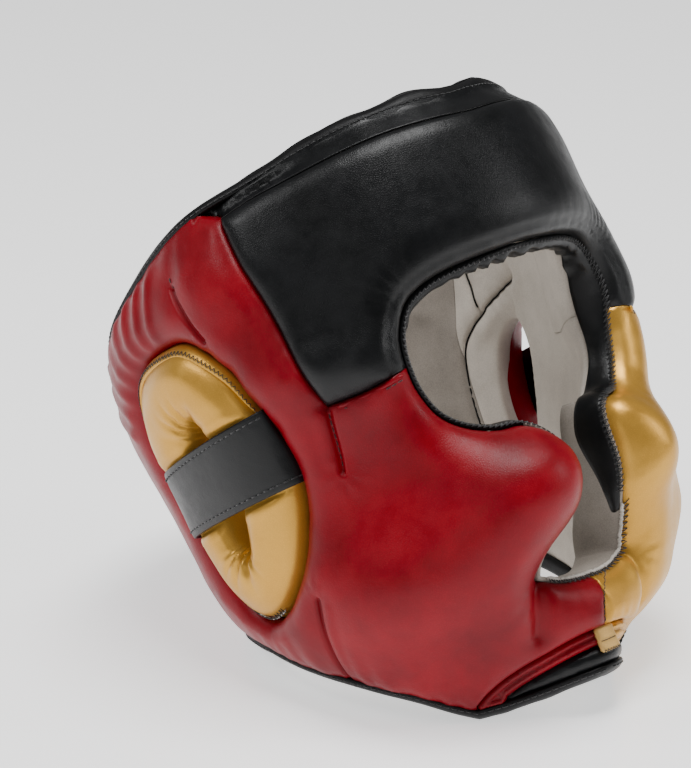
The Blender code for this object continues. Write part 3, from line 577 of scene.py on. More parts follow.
def lattice(loops, spacing, rings, extra=None):
    """Pattern points for one face of a panel: its edges, rows inside them, extra rows and a grid."""
    sides = [(loop, np.roll(loop, -1, axis=0)) for loop in loops]
    starts = np.vstack([start for start, end in sides])
    ends = np.vstack([end for start, end in sides])
    points = list(starts)

    def clear_inside(candidates, margin):
        keep = inside(candidates, loops[0])
        for hole in loops[1:]:
            keep &= ~inside(candidates, hole)
        candidates = candidates[keep]
        return candidates[distance(candidates, starts, ends)[0] >= margin]

    for reach in rings:
        row = []
        for start, end in sides:
            along = end - start
            along /= np.hypot(along[:, 0], along[:, 1])[:, None]
            inward = np.column_stack([-along[:, 1], along[:, 0]])
            inward = inward + np.roll(inward, 1, axis=0)
            inward /= np.hypot(inward[:, 0], inward[:, 1])[:, None]
            row.append(start + inward * reach)
        points += spaced(clear_inside(np.vstack(row), reach * 0.93), 0.9)
    low, high = loops[0].min(0), loops[0].max(0)
    columns = np.arange(low[0], high[0] + spacing, spacing)
    grid = []
    for k, up in enumerate(np.arange(low[1], high[1] + spacing, spacing * 0.87)):
        offset = spacing / 2 if k % 2 else 0.0
        grid.append(np.column_stack([columns + offset, np.full(len(columns), up)]))
    margin = spacing * 0.55 + (rings[-1] if rings else 0.0)
    grid = clear_inside(np.vstack(grid), margin)
    if extra is not None:
        near = np.array([np.hypot(*(extra - point).T).min() for point in grid])
        grid = grid[near > 0.8]
        points += list(clear_inside(extra, margin))
    return np.vstack([np.array(points), grid])


def triangles(points, loops):
    """Triangles over the pattern inside the first outline and outside the holes."""
    edges, first = [], 0
    for loop in loops:
        count = len(loop)
        edges += [(first + i, first + (i + 1) % count) for i in range(count)]
        first += count
    result = geometry.delaunay_2d_cdt([tuple(point) for point in points], edges, [], 0, 1e-6)
    corners, faces = np.array([tuple(vert) for vert in result[0]]), np.array(result[2])
    assert len(corners) == len(points), "the outlines cross"
    spots = corners[faces]
    across, up = spots[:, 1] - spots[:, 0], spots[:, 2] - spots[:, 0]
    areas = np.abs(across[:, 0] * up[:, 1] - across[:, 1] * up[:, 0]) / 2
    centres = spots.mean(1)
    keep = inside(centres, loops[0]) & (areas > 1e-4)
    for hole in loops[1:]:
        keep &= ~inside(centres, hole)
    return [tuple(face) for face in faces[keep].tolist()]


def add_mesh(name, points, faces, material, replaces=()):
    """A smooth piece from head-frame points, riding on the headgear."""
    mesh = bpy.data.meshes.new(name)
    mesh.from_pydata(stand(points).tolist(), [], faces)
    work = bmesh.new()
    work.from_mesh(mesh)
    bmesh.ops.recalc_face_normals(work, faces=work.faces[:])
    work.to_mesh(mesh)
    work.free()
    mesh.shade_smooth()
    mesh.materials.append(material)
    piece = bpy.data.objects.new(name, mesh)
    bpy.context.scene.collection.objects.link(piece)
    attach(piece, "root")
    if replaces:
        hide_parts(*replaces)
    return piece


def panel(name, loops, outer, inner, material, replaces=(), front_step=FINE, back_step=COARSE,
          extra=None, rear_extra=None):
    """A closed panel with an outer face, an inner face and walls at its edges."""
    front = lattice(loops, front_step, RINGS if front_step <= FINE else (), extra)
    rear = lattice(loops, back_step, RINGS if back_step <= FINE else (), rear_extra)
    front_faces, rear_faces = triangles(front, loops), triangles(rear, loops)
    points = np.vstack([place(front, outer(front)), place(rear, inner(rear))])
    offset = len(front)
    faces = front_faces + [tuple(offset + i for i in reversed(face)) for face in rear_faces]
    first = 0
    for loop in loops:
        count = len(loop)
        for i in range(count):
            j = (i + 1) % count
            faces.append((first + j, first + i, offset + first + i, offset + first + j))
        first += count
    return add_mesh(name, points, faces, material, replaces)


def outward(line, closed):
    """Direction to the right of a line at each of its points."""
    ahead, behind = np.roll(line, -1, axis=0), np.roll(line, 1, axis=0)
    if not closed:
        ahead[-1], behind[0] = line[-1], line[0]
    along = ahead - behind
    along[:, 0] = (along[:, 0] + BACK * ARC) % (2 * BACK * ARC) - BACK * ARC
    along /= np.hypot(along[:, 0], along[:, 1])[:, None]
    return np.column_stack([along[:, 1], -along[:, 0]])


def sweep(name, line, section, material, closed, replaces=()):
    """A strip whose section(index, point) gives (distance to the right of the line, depth) corners."""
    points = []
    for index, (station, right) in enumerate(zip(line, outward(line, closed))):
        corners = section(index, station)
        depths = np.array([depth for away, depth in corners])
        points.extend(place([station + right * away for away, depth in corners], depths))
    size, stations = len(corners), len(line)
    faces = []
    for i in range(stations if closed else stations - 1):
        j = (i + 1) % stations
        for k in range(size):
            m = (k + 1) % size
            faces.append((i * size + k, i * size + m, j * size + m, j * size + k))
    if not closed:
        faces.append(tuple(range(size - 1, -1, -1)))
        faces.append(tuple((stations - 1) * size + k for k in range(size)))
    return add_mesh(name, points, faces, material, replaces)


def threads(name, runs, radius, material, sides=5):
    """Rounded threads, one for each run of head-frame points; all the runs have as many points."""
    runs = np.array(runs)
    tangent = np.gradient(runs, axis=1)
    tangent /= np.linalg.norm(tangent, axis=2)[:, :, None]
    out = runs * (1, 1, 0)
    out /= np.linalg.norm(out, axis=2)[:, :, None]
    side = np.cross(tangent, out)
    side /= np.linalg.norm(side, axis=2)[:, :, None]
    out = np.cross(side, tangent)
    turn = np.arange(sides) * 2 * math.pi / sides
    width = np.ones(runs.shape[1]) * radius
    width[0] = width[-1] = radius * 0.6
    ring = (side[:, :, None, :] * np.cos(turn)[None, None, :, None]
            + out[:, :, None, :] * np.sin(turn)[None, None, :, None])
    points = (runs[:, :, None, :] + ring * width[None, :, None, None]).reshape(-1, 3)
    count, length = runs.shape[:2]
    faces = []
    for n in range(count):
        base = n * length * sides
        for k in range(length - 1):
            for i in range(sides):
                j = (i + 1) % sides
                here, after = base + k * sides, base + (k + 1) * sides
                faces.append((here + i, here + j, after + j, after + i))
        faces.append(tuple(base + i for i in reversed(range(sides))))
        faces.append(tuple(base + (length - 1) * sides + i for i in range(sides)))
    return add_mesh(name, points, faces, material)


def along_line(line, marks):
    """Points of a line at distances from its start."""
    lengths = np.concatenate([[0], np.cumsum(np.sqrt((np.diff(line, axis=0) ** 2).sum(1)))])
    return np.column_stack([np.interp(marks, lengths, line[:, k]) for k in range(line.shape[1])])


def line_length(line):
    """Length of a line."""
    return np.sqrt((np.diff(line, axis=0) ** 2).sum(1)).sum()


def stitch_runs(surface_line, stitch):
    """Runs for a row of stitches along a head-frame line that lies on the leather."""
    runs = []
    for start in np.arange(1.0, line_length(surface_line) - stitch.length, stitch.pitch):
        marks = start + stitch.length * np.array([0, 0.12, 0.5, 0.88, 1.0])
        run = along_line(surface_line, marks)
        out = run * (1, 1, 0)
        out /= np.linalg.norm(out, axis=1)[:, None]
        runs.append(run + out * np.array([-0.35, 0.75, 1.0, 0.75, -0.35])[:, None] * stitch.lift)
    return runs


def zigzag_runs(line_a, line_b, zigzag, lift=0.25):
    """Runs that cross to and fro between two head-frame lines that follow one edge."""
    count = int(line_length(line_a) / zigzag.pitch)
    shares = np.linspace(0, 1, 2 * count + 1)
    points_a = along_line(line_a, shares * line_length(line_a))
    points_b = along_line(line_b, shares * line_length(line_b))
    runs = []
    for k in range(2 * count):
        start = points_a[k] if k % 2 == 0 else points_b[k]
        end = points_b[k + 1] if k % 2 == 0 else points_a[k + 1]
        middle = (start + end) / 2
        out = middle * (1, 1, 0) / np.linalg.norm(middle[:2])
        runs.append([start, middle + out * lift, end])
    return runs


def rim_height(line_names, angle):
    """Height of the crown or the neck rim at an angle."""
    points = np.vstack([LINE_POINTS[name] for name in line_names])
    points = points[np.argsort(points[:, 0])]
    return np.interp(half_turn(angle) * ARC, points[:, 0], points[:, 1])


CROWN_LINES = ("crown_front", "crown_side", "crown_back")
NECK_LINES = ("cup_low", "fold_low", "neck_side", "neck_back")


def hollow_depth(flat):
    """Depth of the lining's inner face, which comes out towards the crown and neck rims."""
    angle = flat[:, 0] / ARC
    pinch = np.zeros(len(flat))
    for away in (rim_height(CROWN_LINES, angle) - flat[:, 1],
                 flat[:, 1] - rim_height(NECK_LINES, angle)):
        pinch += (1 - np.clip(away / RIM_REACH, 0, 1)) ** 2
    return PAD - RIM_PINCH * np.minimum(pinch, 1)


def ring_back(flat):
    """Depth of the inner face of the ear ring."""
    return hollow_depth(flat) - LINING - FACING_GAP


def backing_depth(flat):
    """Depth of the hidden inner face of the padding, clear of the suede's rolled edges."""
    return hollow_depth(flat) - BACKING


def turned(points, side):
    """A left outline for the given side: itself for +1, and mirrored for -1."""
    return points if side > 0 else mirrored(points)


def turned_kinds(kinds, side):
    """Edge kinds that belong to the outline that turned() gives."""
    return kinds if side > 0 else kinds[-2::-1] + kinds[-1:]


def closed_half(names, side):
    """Closed outline, inset for its gaps, of a piece that lies on one side."""
    points, kinds = path(*names)
    return inset(turned(points[:-1], side), turned_kinds(kinds, side))


def oval(points, side, step=STEP):
    """A closed line on the given side, run clockwise so that its inward side is leather."""
    line = curve(points, step, closed=True)
    area = np.sum(line[:, 0] * np.roll(line[:, 1], -1) - np.roll(line[:, 0], -1) * line[:, 1])
    clockwise = line if area < 0 else line[::-1]
    return clockwise if side > 0 else mirrored(clockwise)


# Materials

def linear(code):
    """Linear colour of an sRGB hex code."""
    channels = [int(code[k:k + 2], 16) / 255 for k in (1, 3, 5)]
    return [c / 12.92 if c <= 0.04045 else ((c + 0.055) / 1.055) ** 2.4 for c in channels] + [1.0]


def per_metre(millimetres):
    """Texture scale whose features are this far apart."""
    return 1.0 / (millimetres * METRES)


def add(tree, kind, values=(), links=(), **settings):
    """Add one node with its settings, socket values and links from other nodes' outputs."""
    node = tree.nodes.new(kind)
    for key, value in settings.items():
        setattr(node, key, value)
    for socket, value in dict(values).items():
        node.inputs[socket].default_value = value
    for socket, source in dict(links).items():
        tree.links.new(source, node.inputs[socket])
    return node


def start_material(name, values):
    """A material with a Principled shader, its tree, and the object's own coordinates."""
    material = bpy.data.materials.new(name)
    material.use_nodes = True
    tree = material.node_tree
    shader = tree.nodes["Principled BSDF"]
    for socket, value in values.items():
        shader.inputs[socket].default_value = value
    return material, tree, shader, add(tree, "ShaderNodeTexCoord").outputs["Object"]


# Sizes of the patterns, in millimetres. Pebbles, pores, fibres and twist are half as large or less
# on the real thing. They are drawn as coarse as they need to be to show in the render.
PORE, HANDLING, CLOUD = 0.35, 7.0, 28.0
FIBRE, BRUSHED = 0.5, 22.0
TWIST = 0.25


def coated_leather(name, base, dark, roughness, metallic=0.0, grain=0.9, relief=0.05, specular=0.5):
    """Coated leather: pebbled grain, fine pores, soft creases and slightly uneven gloss."""
    material, tree, shader, where = start_material(name, {
        "Metallic": metallic, "IOR": 1.5, "Specular IOR Level": specular})
    cells = add(tree, "ShaderNodeTexVoronoi", {"Scale": per_metre(grain), "Randomness": 1.0},
                {"Vector": where}, feature="DISTANCE_TO_EDGE")
    pebbles = add(tree, "ShaderNodeMapRange", {"From Min": 0.0, "From Max": 0.35},
                  {"Value": cells.outputs["Distance"]})
    pores = add(tree, "ShaderNodeTexNoise", {"Scale": per_metre(PORE), "Detail": 2.0},
                {"Vector": where})
    clouds = add(tree, "ShaderNodeTexNoise",
                 {"Scale": per_metre(CLOUD), "Detail": 4.0, "Roughness": 0.55}, {"Vector": where})
    handling = add(tree, "ShaderNodeTexNoise",
                   {"Scale": per_metre(HANDLING), "Detail": 5.0, "Roughness": 0.6}, {"Vector": where})
    share = add(tree, "ShaderNodeMapRange", {"From Min": 0.3, "From Max": 0.7},
                {"Value": clouds.outputs["Fac"]})
    colour = add(tree, "ShaderNodeMix", {"A": linear(dark), "B": linear(base)},
                 {"Factor": share.outputs["Result"]}, data_type="RGBA")
    tint = add(tree, "ShaderNodeMix", {"Factor": 0.12},
               {"A": colour.outputs["Result"], "B": pebbles.outputs["Result"]},
               data_type="RGBA", blend_type="MULTIPLY")
    tree.links.new(tint.outputs["Result"], shader.inputs["Base Color"])
    gloss = add(tree, "ShaderNodeMapRange", {
        "From Min": 0.3, "From Max": 0.7, "To Min": roughness - 0.05, "To Max": roughness + 0.07},
        {"Value": handling.outputs["Fac"]})
    tree.links.new(gloss.outputs["Result"], shader.inputs["Roughness"])
    creases = add(tree, "ShaderNodeBump", {"Strength": 0.35, "Distance": 0.4 * METRES},
                  {"Height": handling.outputs["Fac"]})
    hide = add(tree, "ShaderNodeBump", {"Strength": 0.55, "Distance": relief * METRES},
               {"Height": pebbles.outputs["Result"], "Normal": creases.outputs["Normal"]})
    fine = add(tree, "ShaderNodeBump", {"Strength": 0.35, "Distance": 0.02 * METRES},
               {"Height": pores.outputs["Fac"], "Normal": hide.outputs["Normal"]})
    tree.links.new(fine.outputs["Normal"], shader.inputs["Normal"])
    return material


def suede(name, base, dark):
    """Napped suede: short fibres, brushed patches and no gloss."""
    material, tree, shader, where = start_material(name, {
        "Roughness": 0.95, "Sheen Weight": 0.35, "Sheen Roughness": 0.6, "IOR": 1.5,
        "Specular IOR Level": 0.25, "Sheen Tint": linear("#D8D0C6")})
    nap = add(tree, "ShaderNodeTexNoise",
              {"Scale": per_metre(FIBRE), "Detail": 3.0, "Roughness": 0.7}, {"Vector": where})
    brushed = add(tree, "ShaderNodeTexNoise",
                  {"Scale": per_metre(BRUSHED), "Detail": 5.0, "Roughness": 0.6}, {"Vector": where})
    both = add(tree, "ShaderNodeMath", links={0: nap.outputs["Fac"], 1: brushed.outputs["Fac"]},
               operation="ADD")
    share = add(tree, "ShaderNodeMapRange", {"From Min": 0.75, "From Max": 1.2},
                {"Value": both.outputs["Value"]})
    colour = add(tree, "ShaderNodeMix", {"A": linear(dark), "B": linear(base)},
                 {"Factor": share.outputs["Result"]}, data_type="RGBA")
    tree.links.new(colour.outputs["Result"], shader.inputs["Base Color"])
    soft = add(tree, "ShaderNodeBump", {"Strength": 0.5, "Distance": 0.5 * METRES},
               {"Height": brushed.outputs["Fac"]})
    fibres = add(tree, "ShaderNodeBump", {"Strength": 0.5, "Distance": 0.12 * METRES},
                 {"Height": nap.outputs["Fac"], "Normal": soft.outputs["Normal"]})
    tree.links.new(fibres.outputs["Normal"], shader.inputs["Normal"])
    return material


def sewing_thread(name, colour):
    """Twisted sewing thread with a soft sheen."""
    material, tree, shader, where = start_material(name, {
        "Base Color": linear(colour), "Roughness": 0.7, "Sheen Weight": 0.3, "IOR": 1.5})
    twist = add(tree, "ShaderNodeTexNoise", {"Scale": per_metre(TWIST), "Detail": 1.0},
                {"Vector": where})
    bump = add(tree, "ShaderNodeBump", {"Strength": 0.4, "Distance": 0.05 * METRES},
               {"Height": twist.outputs["Fac"]})
    tree.links.new(bump.outputs["Normal"], shader.inputs["Normal"])
    return material


# Cowhide with a pigmented coat, pressed with a fine pebble: a deep even red, broad soft highlights.
RED = coated_leather("red_coated_leather", "#900519", "#700312", 0.36, specular=0.18)
# The same hide under a coat with metal flake: gold-coloured highlights and brown shadows.
GOLD = coated_leather("gold_coated_leather", "#D6A348", "#C7933B", 0.33, metallic=0.55, grain=0.7,
                      relief=0.03, specular=0.2)
# A skived offcut of the gold hide, worn at its fold: paler and duller than the panels.
PALE_GOLD = coated_leather("pale_gold_leather", "#E0B874", "#D0A660", 0.45, metallic=0.3, grain=0.7,
                           relief=0.03, specular=0.2)
# Pigmented black hide: its grain shows in a satin highlight, and nothing else gives it colour.
BLACK = coated_leather("black_coated_leather", "#0D0E10", "#08090A", 0.35, grain=0.8, relief=0.06,
                       specular=0.27)
# Thin folded binding leather, rubbed at its fold: duller than the panels.
TAPE = coated_leather("black_binding_tape", "#0C0C0E", "#080809", 0.45, grain=0.7, relief=0.05,
                      specular=0.22)
# Split hide with its flesh side brushed up: a matt grey with lighter and darker strokes. The front and
# side linings take a paler copy. Part of that is a paler skin, and part is painted light, brightened
# where light falls on them.
SUEDE = suede("grey_suede", "#958D84", "#7A736B")
PALE_SUEDE_WITH_PAINTED_LIGHT = suede("pale_grey_suede_with_painted_light", "#D0C8BD", "#B6AEA4")
# The raw cut edge of the hide: loose pale fibres.
PALE_EDGE = suede("pale_cut_suede_edge", "#C9C4BC", "#A8A29A")
# Twisted polyester, dyed black: fine dark ticks along the seams.
BLACK_THREAD = sewing_thread("black_thread", "#101012")

SIDES = ((-1, "right", RED, "red_leather"), (1, "left", GOLD, "gold_leather"))


# Padding

PADDING_DEPTH = {}             # outer depth function of each padded piece, for what is sewn on it


def side_panel(name, side, material, node):
    """Cheek, jaw, side and back of one side in one leather, open at the ear."""
    outline, kinds = closed_half(
        ("chin_low", "jaw", "neck_side", "neck_back", "back_seam", "crown_back",
         "crown_side", "-temple_top", "-temple", "-cheek_seam", "cheek", "mouth", "chin_seam"), side)
    ear = oval(EAR_OPENING, side)
    ear, ear_kinds = inset(ear, ["ear"] * len(ear))
    loops = [outline, ear]

    def depth(flat):
        lift = swell(flat) + fold_lift(flat) + pucker_lift(flat, SHELL_PUCKERS)
        return edge_drop(flat, loops, [kinds, ear_kinds]) - lift - unevenness(flat, 0.7, 0.22)

    PADDING_DEPTH[node] = depth
    piece = panel(name, loops, depth, backing_depth, material, (node,), extra=dart_points(side))


def forehead():
    """The black pad across the brow from temple to temple."""
    outline, kinds = inset(*both_halves(path("brow", "cheek_seam", "temple", "-crest")))
    brow = across_the_face("brow")
    seam_away, seam_width, seam_deep = 7.0, 1.2, 0.9

    def depth(flat):
        lift = swell(flat) + pucker_lift(flat, BROW_PUCKERS)
        crease = seam_deep * np.exp(-((from_line(flat, brow) - seam_away) / seam_width) ** 2)
        return edge_drop(flat, [outline], [kinds]) + crease - lift - unevenness(flat, 0.5, 0.1)

    piece = panel("forehead_leather", [outline], depth, backing_depth, BLACK,
                  ("forehead_pad",))


def crown_trim_depth(flat):
    """Depth of the strip behind the crest: deepest at the temples, and puckered by its stitching."""
    angle = half_turn(flat[:, 0] / ARC)
    away = from_line(flat, across_the_face("crest"))
    share = np.clip(away / 7.0, 0, 1)
    hollow = 4.5 * np.exp(-((angle - 66) / 13) ** 2) * np.sin(math.pi * np.clip(away / 6.0, 0, 1)) ** 2
    waves = 0.8 * np.sin(flat[:, 0] / 5.2) * np.sin(flat[:, 0] / 17.0 + 1.0) * share
    return 3.0 + 6.0 * share + hollow + waves


def crown_trim():
    """The narrow strip between the forehead pad's crest and the crown binding."""
    outline = inset(*both_halves(path("crest", "temple_top", "crown_front")))[0]
    panel("crown_trim_leather", [outline], crown_trim_depth, backing_depth, BLACK,
          ("crown_trim",))


def strap_corners(side):
    """Corners of the ear strap, which lie just inside the ear opening."""
    return turned(np.array([(angle * ARC, height) for angle, height in STRAP_CORNERS[::-1]]), side)


def straight_sided(corners, step):
    """Closed outline through corners, with points a step apart."""
    ends = np.roll(corners, -1, axis=0)
    return np.vstack([resample(np.array(pair), step)[:-1] for pair in zip(corners, ends)])


def clipped_rectangle(half, low, high, corner, middle, step):
    """Outline of a rectangle with its corners cut off, about a middle angle."""
    corners = np.array([
        (-half + corner, low), (half - corner, low), (half, low + corner), (half, high - corner),
        (half - corner, high), (-half + corner, high), (-half, high - corner), (-half, low + corner)])
    return straight_sided(corners + (middle * ARC, 0), step)


def strap_outline(side):
    """Closed outline of the ear strap."""
    return straight_sided(strap_corners(side), STEP)


def strap_depth(flat):
    """Depth of the strap's outer face, highest midway between its two ends."""
    angles = half_turn(np.atleast_2d(flat)[:, 0] / ARC)
    back_end, front_end = STRAP_CORNERS[0][0], STRAP_CORNERS[2][0]
    share = np.abs(2 * (angles - front_end) / (back_end - front_end) - 1)
    share = np.minimum(share, 1.0)
    return STRAP_SINK * share ** 4 + STRAP_TUCK * share ** 16 - STRAP_RISE


def strap_floor(flat, side):
    """Least depth of the ear pad, which the strap holds down where it crosses."""
    outline = strap_outline(side)
    away = np.where(inside(flat, outline), 0.0, from_outline(flat, outline))
    return STRAP + GAP - STRAP_RISE + STRAP_SPARE - np.maximum(0.0, away - 0.5) * STRAP_SLOPE


def ear_pad(name, side, material, node):
    """The puffed ring that fills the ear opening, gathered into the ends of its hole."""
    outer = oval(EAR_OPENING, side, 1.2)
    outer = outer + (outer.mean(0) - outer) * GAP / np.hypot(*(outer - outer.mean(0)).T)[:, None]
    hole = oval(RIGHT_HOLE if side < 0 else LEFT_HOLE, side, 0.8)
    middle = hole.mean(0)
    bearings = -math.pi + 2 * math.pi * np.arange(EAR_STATIONS) / EAR_STATIONS
    rounds = []
    for line in (outer, hole):
        bearing = np.arctan2(line[:, 1] - middle[1], line[:, 0] - middle[0])
        order = np.argsort(bearing)
        rounds.append(np.column_stack([
            np.interp(bearings, bearing[order], line[order, axis], period=2 * math.pi)
            for axis in (0, 1)]))
    shares = 1 - (1 - np.linspace(0, 1, EAR_ROWS)) ** 1.25
    shares[0] = 0.0
    outside = smooth_at(shares, [p.share for p in EAR_OUTSIDE], [p.depth for p in EAR_OUTSIDE])
    rows = []
    for share, plain in zip(shares, outside):
        flat = rounds[0] + (rounds[1] - rounds[0]) * share
        taper = 1 - abs(2 * share - 1) ** 6
        puckers = pucker_lift(flat, EAR_PUCKERS) * (1 - abs(2 * share - 1) ** 16)
        depth = plain - puckers - unevenness(flat, 0.5, 0.25) * taper
        floor = strap_floor(flat, side)
        soft = 1.4                      # how gently the pad turns down beside the strap
        held = np.logaddexp(depth / soft, floor / soft) * soft - soft * 0.12
        rows.append(place(flat, np.where(floor > depth - 6, held, depth)))
    for share, rise in EAR_INSIDE:
        flat = rounds[0] + (rounds[1] - rounds[0]) * share
        rows.append(place(flat, ring_back(flat) - rise))
    points = np.vstack(rows)
    count = len(rows)
    faces = []
    for k in range(count):
        here, after = k * EAR_STATIONS, (k + 1) % count * EAR_STATIONS
        for i in range(EAR_STATIONS):
            j = (i + 1) % EAR_STATIONS
            faces.append((here + i, here + j, after + j, after + i))
    piece = add_mesh(name, points, faces, material, (node,))


# Section of the lip over the ear ring: how far in from the opening's edge, and how deep.
LIP_SECTION = ((-0.5, 7.5), (0.6, 4.4), (2.4, 2.6), (4.6, 1.7), (5.2, 2.6), (3.0, 6.0))


def ear_flange(name, side, material):
    """The lip of leather over the top of the ear ring, the cut edge in front of it, and threads."""
    line = oval(EAR_OPENING, side)
    centre = line.mean(0)
    angle = np.degrees(np.arctan2(line[:, 1] - centre[1], (line[:, 0] - centre[0]) * side))
    order = [i for i in np.argsort(-angle) if 18 < angle[i] < 150]
    arc = line[order]
    towards = centre - arc
    towards /= np.hypot(towards[:, 0], towards[:, 1])[:, None]
    fade = np.sin(np.linspace(0, math.pi, len(arc))) ** 0.5
    rows = []
    for away, depth in LIP_SECTION:
        flat = arc + towards * (away * fade)[:, None]
        rows.append(place(flat, depth + 1.2 * (1 - fade)))
    points, count, length = np.vstack(rows), len(rows), len(arc)
    faces = []
    for k in range(count):
        for i in range(length - 1):
            a, b = k * length + i, (k + 1) % count * length + i
            faces.append((a, a + 1, b + 1, b))
    faces.append(tuple(k * length for k in range(count)))
    faces.append(tuple(k * length + length - 1 for k in reversed(range(count))))
    add_mesh(name, points, faces, material)
    inner = arc + towards * (3.6 * fade)[:, None]
    outer = arc + towards * (1.8 * fade)[:, None]
    runs = zigzag_runs(place(inner, 1.7 + 1.2 * (1 - fade)), place(outer, 2.7 + 1.2 * (1 - fade)),
                       ZIGZAGS["ear lip"])
    front = np.array([line[i] for i in np.argsort(-angle) if -100 < angle[i] < 20])
    inwards = centre - front
    inwards /= np.hypot(inwards[:, 0], inwards[:, 1])[:, None]
    edge = resample(place(front + inwards * 1.3, 4.7), 0.8)
    ragged = np.random.default_rng(7).normal(0, 0.12, edge.shape)
    threads(name + "_cut_edge", [edge + ragged], 0.42, PALE_EDGE, sides=6)
    foot = front[:, 1] < -36
    low, inwards = front[foot], inwards[foot]
    runs += zigzag_runs(place(low + inwards * 2.6, 2.6), place(low + inwards * 0.6, 5.0),
                        ZIGZAGS["ear foot"])
    threads(name + "_thread", runs, ZIGZAGS["ear foot"].radius, BLACK_THREAD)


def ear_strap(name, side, node):
    """The flat strap across the ear pad, stitched along both long edges."""
    outline = strap_outline(side)

    def depth(flat):
        away = from_outline(flat, outline)
        rounding = 0.5 * np.exp(-(away / 0.8) ** 2)
        return strap_depth(flat) + rounding + 0.25 * np.exp(-((away - stitch_away) / 0.9) ** 2)

    stitch_away = 2.6
    panel(name, [outline], depth, lambda flat: strap_depth(flat) + STRAP, BLACK,
          (node,))
    corners = strap_corners(side)
    ordered = corners[np.lexsort((corners[:, 1], np.abs(corners[:, 0])))]
    front, back = ordered[:2], ordered[2:]
    runs = []
    for row, step in ((0, stitch_away), (1, -stitch_away)):
        start, end = front[row] + (0, step), back[row] + (0, step)
        line = resample(np.array([start, end]), STEP)
        runs += stitch_runs(place(line, strap_depth(line)), STITCHES["strap"])
    threads(name + "_stitches", runs, STITCHES["strap"].radius, BLACK_THREAD)


# Lining

# The suede rolls outwards at the openings and rims, by a drop over a width.
Roll = namedtuple("Roll", "lines drop width")
ROLLS = (
    Roll(("brow", "cheek", "mouth"), 8.0, 15.0),
    Roll(NECK_LINES, 2.2, 7.0),
    Roll(CROWN_LINES[::-1], 2.2, 7.0),
)
HOLE_DROP, HOLE_WIDTH = 2.2, 7.0
GROOVE = [
    (106, -55), (112, -32), (115.5, -7), (116, 11), (114, 24), (108, 32), (99.5, 40), (90, 46),
    (84, 49)]
SHORT_SEAM = [(109, 64), (108.5, 53), (107.5, 46), (106, 36)]
ROLL_EDGE = [(83, 78), (84.5, 53), (89, 24), (88.5, -6), (89, -20), (87, -45), (84, -62)]
LINING_FOLDS = (
    Fold("wrinkle 1", (97, 45), (92.5, 31), 1.3, 0.9),
    Fold("wrinkle 2", (100.5, 42), (95, 29), 1.3, 0.9),
    Fold("wrinkle 3", (103.5, 39), (97.5, 28), 1.4, 0.8),
    Fold("wrinkle 4", (94, 47), (90.5, 35), 1.2, 0.8),
    Fold("upper fold", (106, 52), (98, 60), 2.0, 0.9),
    Fold("upper wrinkle", (104, 50), (95, 55), 1.8, 0.8),
    Fold("hole fold", (112, 5), (106, 8), 2.0, 0.5),
    Fold("back fold", (124, 40), (150, 52), 4.0, 1.0),
)


def lining_relief(flat):
    """How far the suede stands into the hollow: rolls, grooves along its seams, and wrinkles."""
    near, total = on_one_side(flat), np.zeros(len(flat))
    for points, width, deep in ((GROOVE, 1.3, 2.0), (SHORT_SEAM, 1.2, 1.4)):
        away = from_line(near, curve(points, STEP))
        total += 1.4 * np.exp(-((away - 6.5) / 4.5) ** 2) - deep * np.exp(-(away / width) ** 2)
    edge = curve(ROLL_EDGE, STEP)
    edge = edge[np.argsort(edge[:, 1])]
    behind = near[:, 0] - np.interp(near[:, 1], edge[:, 1], edge[:, 0])
    roll = 1 / (1 + np.exp(np.clip(behind / 0.9, -40, 40)))
    fade = np.clip((near[:, 0] - 45 * ARC) / (30 * ARC), 0, 1)
    ends = np.clip((near[:, 1] + 62) / 25, 0, 1) * np.clip((84 - near[:, 1]) / 25, 0, 1)
    return total + 5.0 * roll * fade ** 0.7 * ends + folds_lift(flat, LINING_FOLDS)


def lining_depth(flat):
    """Depth of the suede's face, which rolls outwards at the openings and the rims."""
    near = on_one_side(flat)
    hole = curve(LINING_HOLE, STEP, closed=True)
    edges = [(from_outline(near, hole), HOLE_DROP, HOLE_WIDTH)]
    edges += [(from_line(near, path(*roll.lines)[0]), roll.drop, roll.width) for roll in ROLLS]
    rolled, fade = np.zeros(len(flat)), np.ones(len(flat))
    for away, drop, width in edges:
        share = np.clip(away / width, 0, 1)
        rolled = np.maximum(rolled, drop * (1 - np.sqrt(1 - (1 - share) ** 2)))
        fade = np.minimum(fade, share)
    soft = unevenness(flat, 1.2, 0.45) + lining_relief(flat)
    return hollow_depth(flat) - rolled + soft * fade


def lining_piece(name, loops, node, material, extra=None):
    """A suede panel on the inner face of the padding."""
    panel(name, loops, lambda flat: hollow_depth(flat) - LINING_BACK, lining_depth, material,
          (node,), front_step=COARSE, back_step=FINE, rear_extra=extra)


def linings():
    """Forehead, both sides and the back."""
    front = path("brow", "cheek_seam", "temple", "temple_top", "crown_front")
    # The forehead lining takes the paler suede, partly a paler skin and partly painted light.
    lining_piece("forehead_suede", [inset(*both_halves(front))[0]], "forehead_lining", PALE_SUEDE_WITH_PAINTED_LIGHT)
    for side, word in ((-1, "right"), (1, "left")):
        outline = closed_half(
            ("cup_low", "fold_low", "neck_side", "lining_seam", "crown_side", "-temple_top",
             "-temple", "-cheek_seam", "cheek", "mouth", "lining_chin"), side)[0]
        # The side linings take the paler suede, partly a paler skin and partly painted light.
        lining_piece(word + "_suede", [outline, oval(LINING_HOLE, side)], word + "_lining",
                     PALE_SUEDE_WITH_PAINTED_LIGHT, groove_points(side))
    rear = path("crown_back", "-lining_seam", "neck_back")
    lining_piece("back_suede", [inset(*both_halves(rear, BACK))[0]], "back_lining", SUEDE)
    for side, word in ((-1, "right"), (1, "left")):
        runs = []
        for points in (GROOVE, SHORT_SEAM):
            line = curve(points, 1.0)[2:-2] * (side, 1)
            run = place(line, lining_depth(line) + 0.75)
            runs.append(resample(run, line_length(run) / 90)[:90])
        threads(word + "_lining_seams", runs, 0.36, TAPE, sides=6)


# Round the face

def opening_edge(flat):
    """Depth at which the leather of the padding meets the strip round the eye opening."""
    return EDGES["opening"].drop - swell(flat) + 0.6


